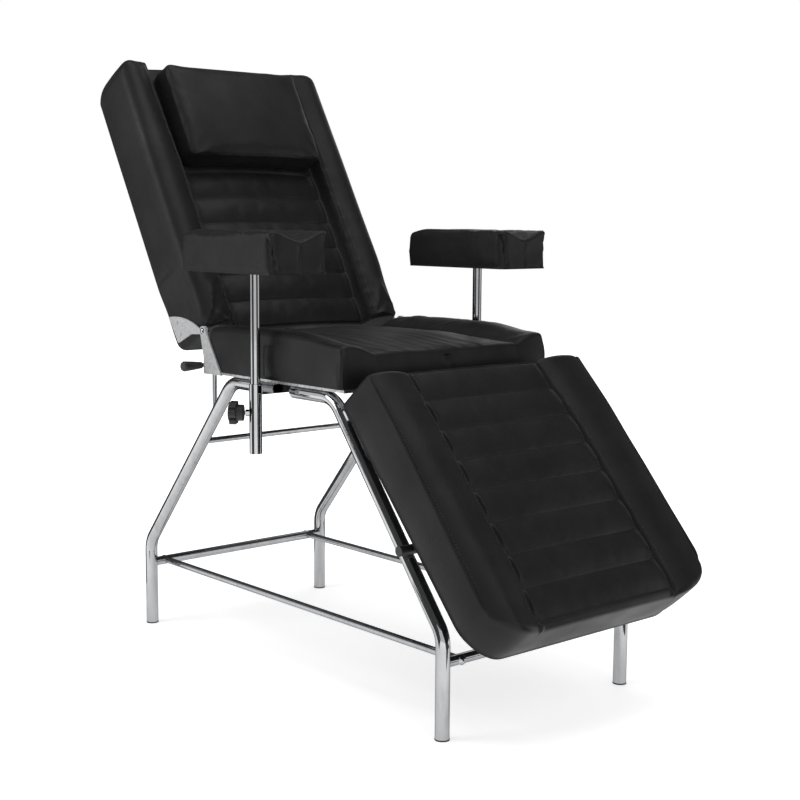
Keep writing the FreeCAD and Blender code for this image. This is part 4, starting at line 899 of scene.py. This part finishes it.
headPillow = {
    "start": -0.7188, "length": 0.2616, "half": 0.1975, "nearRound": 0.02, "farRound": 0.018,
    "nearFall": 0.018, "farFall": 0.006, "sideFall": 0.014, "tall": 0.062,
    "puff": 1.8, "travel": 0.0035, "slack": 0.006, "fill": 0.9, "pitch": 0.0105,
}


def pillowTop(x, y):
    f = headPillow
    along, aside = x / f["length"], y / f["half"]
    height = f["tall"] - 0.015 + 0.006 * (1 - aside ** 2) * math.sin(math.pi * along) ** 0.6
    height -= 0.003 * groove(x - f["length"], 0.09) * abs(aside) ** 3
    height += 0.0012 * noise.noise(Vector((x * 9, y * 8, 12.0)))
    # the two lower corners are gathered
    away = math.hypot(f["length"] - x, f["half"] - abs(y))
    folds = gather(f["length"] - x + 0.002, f["half"] - abs(y) + 0.002, 0.075, 14.0, 5.0)
    return height + 0.0042 * folds - 0.006 * groove(away, 0.022)


def pillowWall(x, y, t, outX, outY):
    f = headPillow
    swell = 0.0035 * math.sin(math.pi * t) + 0.0015 * math.sin(2 * math.pi * t)
    away = math.hypot(f["length"] - x, f["half"] - abs(y))
    swell -= 0.005 * groove(away, 0.012) * math.sin(math.pi * t)
    fine = noise.noise(Vector((x * 16, y * 16, t * 3.0)))
    return swell + 0.001 * fine * math.sin(math.pi * t)


headPillow.update(
    top=pillowTop, wall=pillowWall,
    low=lambda x, y: panelHeight(y) + 0.0018)


def buildPillow():
    f = headPillow
    length, half = f["length"], f["half"]
    marks = rimLines(length, (f["nearFall"], f["farFall"]))
    cover, keys, _, _ = sewCover("headPillowCover", f, marks, rimAcross(half, f["sideFall"]),
                                 (0.2, 0.21, -0.01, 0.01))

    def hold(x, y, t):
        if t < 0.15:
            return 1.0
        corner = math.hypot(min(x, length - x), half - abs(y))
        return min(1.0, 0.55 + groove(corner, 0.02)) if t < 1.0 else groove(corner, 0.02)

    settle(cover, keys, f, hold)
    finishPad(cover, "back", ("head_pillow",), backPlacing)


buildPillow()
print("pillow sewn")


# seat: a boxed cover pulled down over the skirts; heights are above the floor

seatPad = {
    "start": -0.228, "length": 0.494, "half": 0.304, "nearRound": 0.016, "farRound": 0.014,
    "nearFall": 0.014, "farFall": 0.012, "sideFall": 0.011, "skirt": 0.6763, "board": 0.711,
    "skirtThick": 0.022, "edge": 0.7635, "crest": 0.7865, "panel": 0.7635, "seamTop": 0.757,
    "seam": 0.21, "dip": 0.0145, "puff": 1.4, "travel": 0.003, "slack": 0.005, "fill": 0.85,
    "pitch": 0.0115, "across": 0.009, "tuft": (0.494, -0.007), "crestShare": 0.74,
}


def seatTop(x, y):
    f = seatPad
    toFront = easeUp((x - 0.27) / 0.215)
    toRear = easeUp(1 - x / 0.1)
    off = abs(y) - f["seam"]
    crest = f["crest"] - 0.0175 * toFront ** 2 - 0.008 * toRear
    valley = f["seamTop"] - 0.0085 * toFront
    if off < 0:
        middle = f["panel"] - f["dip"] * toFront
        height = middle + (valley - middle) * (abs(y) / f["seam"]) ** 3
        shallow = easeUp(-off / 0.05)
        height += 0.0019 * shallow * crinkle(x * 3.0, y * 30, 1.0) * easeUp((x - 0.05) / 0.1)
        height += 0.0016 * noise.noise(Vector((x * 7, y * 12, 4.0)))
    else:
        out = off / (f["half"] - f["seam"])
        if out < f["crestShare"]:
            rise = math.sin(math.pi / 2 * out / f["crestShare"]) ** (1 + 0.35 * toFront)
            height = valley + (crest - valley) * rise
        else:
            part = (out - f["crestShare"]) / (1 - f["crestShare"])
            height = f["edge"] + (crest - f["edge"]) * math.sqrt(max(0.0, 1 - part ** 2.3))
        height += 0.0012 * noise.noise(Vector((x * 9, y * 15, 6.0)))
    height -= 0.0022 * groove(off + 0.001, 0.004) * (1 - 0.6 * toFront)
    dx, dy = x - f["tuft"][0], y - f["tuft"][1]
    away = math.hypot(dx, dy)
    height -= 0.0018 * groove(away, 0.008)
    height += 0.0016 * gather(-dx + 0.001, dy, 0.09, 12.0, 2.0)
    return height


def seatWall(x, y, t, outX, outY):
    f = seatPad
    fade = math.sin(math.pi * t)
    out = 0.0018 * fade + 0.0012 * fade * noise.noise(Vector((x * 8, y * 8, t * 1.6)))
    if abs(outY) > 0.5:
        past = easeUp((x - 0.22) / 0.012) * easeUp(1 - (x - 0.23) / 0.08)
        out += 0.0055 * fade ** 0.5 * past  # stands out from the arm beam on
        out += 0.003 * fade * easeUp((x - 0.4) / 0.09)
        out *= easeUp((x - 0.085) / 0.05)  # flat behind the hinge plate
    if outX > 0.5:
        dy = y - f["tuft"][1]
        out += 0.003 * fade + 0.0015 * gather((1 - t) * 0.08 + 0.001, dy, 0.08, 9.0, 5.0) * fade
        out -= 0.0045 * groove(math.hypot(dy, (t - 0.9) * 0.075), 0.008)
    return out if outX > -0.5 else 0.0


def seatLow(x, y):
    f = seatPad
    inset = min(f["length"] - x, f["half"] - abs(y))
    share = easeUp((inset - f["skirtThick"] + 0.0005) / 0.002)
    return f["skirt"] + (f["board"] - f["skirt"]) * share


seatPad.update(top=seatTop, low=seatLow, wall=seatWall)


def buildSeat():
    f = seatPad
    length, half, thick = f["length"], f["half"], f["skirtThick"]
    marks = rimLines(length, (f["nearFall"], f["farFall"])) + around(0.226, (0.006, 0.013))
    marks += [length - thick - 0.0018, length - thick + 0.0008, 0.219, 0.476]
    cross = rimAcross(half, 0.02)
    for sign in (-1, 1):
        cross += [sign * (half - 0.003), sign * (half - 0.0075)]
        cross += [sign * (half - thick - 0.0018), sign * (half - thick + 0.0008)]
        cross += around(sign * f["seam"], (0.004, 0.009, 0.016))
    cross += around(f["tuft"][1], (0.004, 0.01, 0.018))
    cover, keys, _, _ = sewCover("seatCover", f, marks, cross)

    def hold(x, y, t):
        if t < 1.0:
            return 1.0 if t < 0.25 or x < 0.09 or x > length - 0.03 else 0.75
        away = math.hypot(x - f["tuft"][0], y - f["tuft"][1])
        edge = groove(min(x, length - x, half - abs(y)), 0.01)
        return min(1.0, max(groove(abs(y) - f["seam"], 0.006), groove(away, 0.012), edge,
                            easeUp(1 - (x - 0.02) / 0.04)))

    settle(cover, keys, f, hold)
    finishPad(cover, "base", ("seat_cushion", "seat_side_skirts", "seat_front_skirt",
                                 "seat_board"))


buildSeat()
print("seat sewn")


# arm pads: flat behind, with a trough that opens to the front

armShares = [0, 0.05, 0.1, 0.16, 0.26, 0.38, 0.5, 0.62, 0.74, 0.84, 0.92, 0.97, 1]
armPad = {
    "start": -0.171, "length": 0.34, "half": 0.0755, "nearRound": 0.018, "farRound": 0.014,
    "nearFall": 0.022, "farFall": 0.007, "sideFall": 0.009, "underside": 0.9155,
    "height": 1.0035, "spread": 0.336, "trough": 0.021, "puff": 2.0, "travel": 0.003,
    "slack": 0.01, "fill": 0.85, "pitch": 0.0085,
}


def troughShare(x):
    return easeUp((x - 0.1) / 0.2)


def armTop(x, y):
    f = armPad
    opened = troughShare(x)
    aside = abs(y) / f["half"]
    height = f["height"] - 0.0035 * aside ** 2 * (1 - opened)
    saddle = 0.5 + 0.5 * math.cos(math.pi * min(1.0, aside) ** 0.9)
    height -= (0.003 + (f["trough"] - 0.003) * opened) * saddle
    height -= 0.0015 * opened * groove(y, 0.006)
    height += 0.0009 * noise.noise(Vector((x * 14, y * 22, 3.0)))
    height += 0.0016 * gather(f["length"] - x + 0.002, y, 0.09, 7.0, 4.0) * opened
    rear = 1 - x / 0.06
    return height - (0.006 * easeUp(rear) if rear > 0 else 0.0)


def armWall(x, y, t, outX, outY):
    f = armPad
    fade = math.sin(math.pi * t)
    fine = noise.noise(Vector((x * 20, y * 20, t * 2.5 + (1.0 if y > 0 else 4.0))))
    out = 0.0016 * fade + 0.0012 * fade * fine
    corner = math.hypot(f["length"] - x, f["half"] - abs(y))
    out -= 0.006 * groove(corner - 0.004, 0.012) * fade ** 0.6
    # the front corners are drawn in along a slanting crease
    past = x - f["length"] if abs(outY) > 0.5 else f["half"] - abs(y)
    crease = past - (0.02 - 0.036 * t) - 0.003 * noise.noise(Vector((t * 9, y * 3, 2.0)))
    out -= 0.0055 * groove(crease, 0.0045) * fade ** 0.5
    out += 0.0035 * groove(crease - 0.009, 0.006) * fade
    if outX > 0.5:
        out -= 0.0022 * groove(y, 0.0028) + 0.0045 * fade * (1 - (y / f["half"]) ** 2)
    low = max(0.0, 1 - t / 0.14)
    out -= 0.0028 * low * (0.5 + 0.5 * math.sin((x + y) * 2 * math.pi / 0.0185))
    return out


def armLow(x, y):
    # the rim is drawn round the board and hides its plate
    inset = min(x, armPad["length"] - x, armPad["half"] - abs(y))
    return armPad["underside"] - 0.0035 * easeUp(1 - (inset - 0.004) / 0.006)


armPad.update(top=armTop, low=armLow, wall=armWall)


def buildArmPad(word, side, body, replaced):
    f = dict(armPad, middle=side * armPad["spread"])
    length, half = f["length"], f["half"]
    marks = rimLines(length, (f["nearFall"], f["farFall"])) + [0.004, 0.01]
    marks += [length - step for step in (0.004, 0.009, 0.013, 0.018, 0.022, 0.027)]
    cross = rimAcross(half, f["sideFall"]) + around(0.0, (0.0028, 0.0075))
    cross += [sign * (half - step) for sign in (-1, 1) for step in (0.004, 0.01, 0.015, 0.02)]
    cover, keys, xs, _ = sewCover(f"armPadCover{word}", f, marks, cross,
                                  (0.15, 0.19, -0.02, 0.02), armShares)

    def hold(x, y, t):
        if t < 0.2:
            return 1.0
        corner = groove(math.hypot(length - x, half - abs(y)), 0.02)
        if t < 1.0:
            return min(1.0, 0.6 + corner + (0.4 if x > length - 0.001 else 0.0))
        return min(1.0, max(corner, groove(length - x, 0.02), groove(y, 0.01) * troughShare(x)))

    settle(cover, keys, f, hold)
    for label, inset in (("Outer", 0.0045), ("Inner", 0.009)):
        line = nearestLine(xs, length - inset)
        path = pathOn(cover, keys, lambda x, y, t: t >= 1.0 and abs(x - line) < 1e-6
                      and abs(y) < half - 0.004, lambda x, y, t: y)
        stitchRow(f"armPadEdge{label}{word}", path, body)
    path = pathOn(cover, keys, lambda x, y, t: x > length - 1e-6 and abs(y - 0.0028) < 1e-5
                  and 0.2 < t < 0.95, lambda x, y, t: t)
    stitchRow(f"armPadFront{word}", path, body)
    finishPad(cover, body, replaced)


for word, side in (("Right", -1), ("Left", 1)):
    low = word.lower()
    buildArmPad(word, side, f"arm_pad_{low}", (f"armrest_pad_{low}", f"armrest_board_{low}"))
print("arm pads sewn")


camera = {"place": (2.54363, -2.13786, 1.03056), "turn": 48.79, "down": 7.27,
          "roll": 0.36, "lens": 64.15, "sensor": 36.0}


def buildCamera():
    data = bpy.data.cameras.new("studioCamera")
    data.lens = camera["lens"]
    data.sensor_width = camera["sensor"]
    lens = bpy.data.objects.new("studioCamera", data)
    scene.collection.objects.link(lens)
    aim = Euler((math.radians(90 - camera["down"]), 0, math.radians(camera["turn"])))
    spin = Matrix.Rotation(math.radians(camera["roll"]), 3, "Z")
    lens.rotation_mode = "QUATERNION"
    lens.rotation_quaternion = (aim.to_matrix() @ spin).to_quaternion()
    lens.location = camera["place"]
    scene.camera = lens


lamps = [
    {"name": "overheadSoftbox", "place": (0.4, -0.2, 3.1), "aim": (0, 0, 0.6),
     "size": (2.6, 2.6), "watts": 36},
    {"name": "frontSoftbox", "place": (3.0, -0.6, 1.9), "aim": (0.1, 0, 0.6),
     "size": (1.2, 1.8), "watts": 14},
    {"name": "leftFill", "place": (-1.3, -2.9, 2.1), "aim": (-0.3, 0, 0.9),
     "size": (1.6, 1.6), "watts": 32},
    {"name": "rearRim", "place": (-1.6, 2.6, 2.2), "aim": (0, 0, 0.8),
     "size": (1.4, 1.8), "watts": 8},
]


def buildLamps():
    for lamp in lamps:
        data = bpy.data.lights.new(lamp["name"], "AREA")
        data.shape = "RECTANGLE"
        data.size, data.size_y = lamp["size"]
        data.energy = lamp["watts"]
        light = bpy.data.objects.new(lamp["name"], data)
        light.location = lamp["place"]
        way = Vector(lamp["aim"]) - Vector(lamp["place"])
        light.rotation_euler = way.to_track_quat("-Z", "Y").to_euler()
        scene.collection.objects.link(light)


def seenDirectly(tree):
    # 1 where the camera, a reflection or a clear surface looks straight at it
    path = addNode(tree, "LightPath")
    looks = mathNode(tree, "MAXIMUM", path.outputs["Is Camera Ray"],
                     path.outputs["Is Glossy Ray"])
    return mathNode(tree, "MAXIMUM", looks, path.outputs["Is Transmission Ray"])


# the paper glows for direct looks, from half strength under the chair to white further out
room = {"white": (1, 1, 1, 1), "ambient": 0.5, "paper": (0.88, 0.88, 0.88, 1), "rough": 0.9,
        "floor": 9, "sides": 48, "glowFrom": 0.6, "glowTo": 2.6, "glow": (0.5, 1.0)}


def joinShaders(tree, kind, shaders, end, factor=None):
    mix = tree.nodes.new(kind)
    if factor is not None:
        tree.links.new(factor, mix.inputs[0])
    for shader, socket in zip(shaders, list(mix.inputs)[-2:]):
        tree.links.new(shader.outputs[0], socket)
    tree.links.new(mix.outputs[0], tree.nodes[end].inputs["Surface"])


def buildWorld():
    world = bpy.data.worlds.new("studioWhite")
    world.use_nodes = True
    scene.world = world
    tree = world.node_tree
    ambient = feed(tree, tree.nodes["Background"], Color=room["white"], Strength=room["ambient"])
    white = addNode(tree, "Background", Color=room["white"], Strength=1.0)
    joinShaders(tree, "ShaderNodeMixShader", (ambient, white), "World Output",
                seenDirectly(tree))


def buildFloor():
    sides, step = room["sides"], 2 * math.pi / room["sides"]
    mesh = bpy.data.meshes.new("studioFloor")
    spots = [(0, 0, 0)] + [(room["floor"] * math.cos(k * step),
                            room["floor"] * math.sin(k * step), 0) for k in range(sides)]
    mesh.from_pydata(spots, [], [(0, k + 1, (k + 1) % sides + 1) for k in range(sides)])
    floor = bpy.data.objects.new("studioFloor", mesh)
    scene.collection.objects.link(floor)
    material, tree, shader = startFinish("paperFloor")
    feed(tree, shader, Base_Color=room["paper"], Roughness=room["rough"],
         Specular_IOR_Level=0.0)
    far = addNode(tree, "VectorMath", operation="LENGTH")
    tree.links.new(objectSpace(tree), far.inputs[0])
    near = rampNode(tree, far.outputs["Value"], room["glowFrom"], room["glowTo"], *room["glow"])
    glow = addNode(tree, "Emission", Color=room["white"],
                   Strength=mathNode(tree, "MULTIPLY", seenDirectly(tree), near))
    joinShaders(tree, "ShaderNodeAddShader", (shader, glow), "Material Output")
    mesh.materials.append(material)


# dark studio flags that only reflections see: a tent open low down and at the lamps
flags = {"radius": 4.4, "inner": 1.0, "deep": (0.0225, 0.0225, 0.0225),
         "lifted": (0.165, 0.165, 0.165), "high": 90, "rings": 11, "turns": 72, "gapRings": 4,
         "gaps": [(-66, -8), (28, 66), (212, 250)]}


def buildFlags():
    material, tree, _ = startFinish("flagCloth")
    weave = noiseNode(tree, objectSpace(tree), 3.0)
    glow = addNode(tree, "Emission",
                   Color=mixColours(tree, weave, flags["deep"], flags["lifted"]))
    tree.links.new(glow.outputs[0], tree.nodes["Material Output"].inputs["Surface"])
    spots, faces = [], []
    rings, turns = flags["rings"], flags["turns"]
    for ring in range(rings + 1):
        # the first ring lies on the floor, the rest rise to the top of the tent
        lift = math.radians(flags["high"] * max(0, ring - 1) / (rings - 1))
        reach = flags["radius"] * math.cos(lift) if ring else flags["inner"]
        for turn in range(turns):
            angle = 2 * math.pi * turn / turns
            spots.append((reach * math.cos(angle), reach * math.sin(angle),
                          flags["radius"] * math.sin(lift) + 0.003))
    for ring in range(rings):
        for turn in range(turns):
            degrees = (turn + 0.5) * 360 / turns
            degrees = degrees if degrees < 285 else degrees - 360
            if ring < flags["gapRings"] and any(a < degrees < b for a, b in flags["gaps"]):
                continue
            after = (turn + 1) % turns
            faces.append([ring * turns + turn, ring * turns + after,
                          (ring + 1) * turns + after, (ring + 1) * turns + turn])
    mesh = bpy.data.meshes.new("studioFlags")
    mesh.from_pydata(spots, [], faces)
    mesh.materials.append(material)
    tent = bpy.data.objects.new("studioFlags", mesh)
    scene.collection.objects.link(tent)
    for ray in ("camera", "diffuse", "transmission", "shadow"):
        setattr(tent, "visible_" + ray, False)


scene.view_settings.view_transform = "Standard"
buildCamera()
buildLamps()
buildWorld()
buildFloor()
buildFlags()
print("studio set")
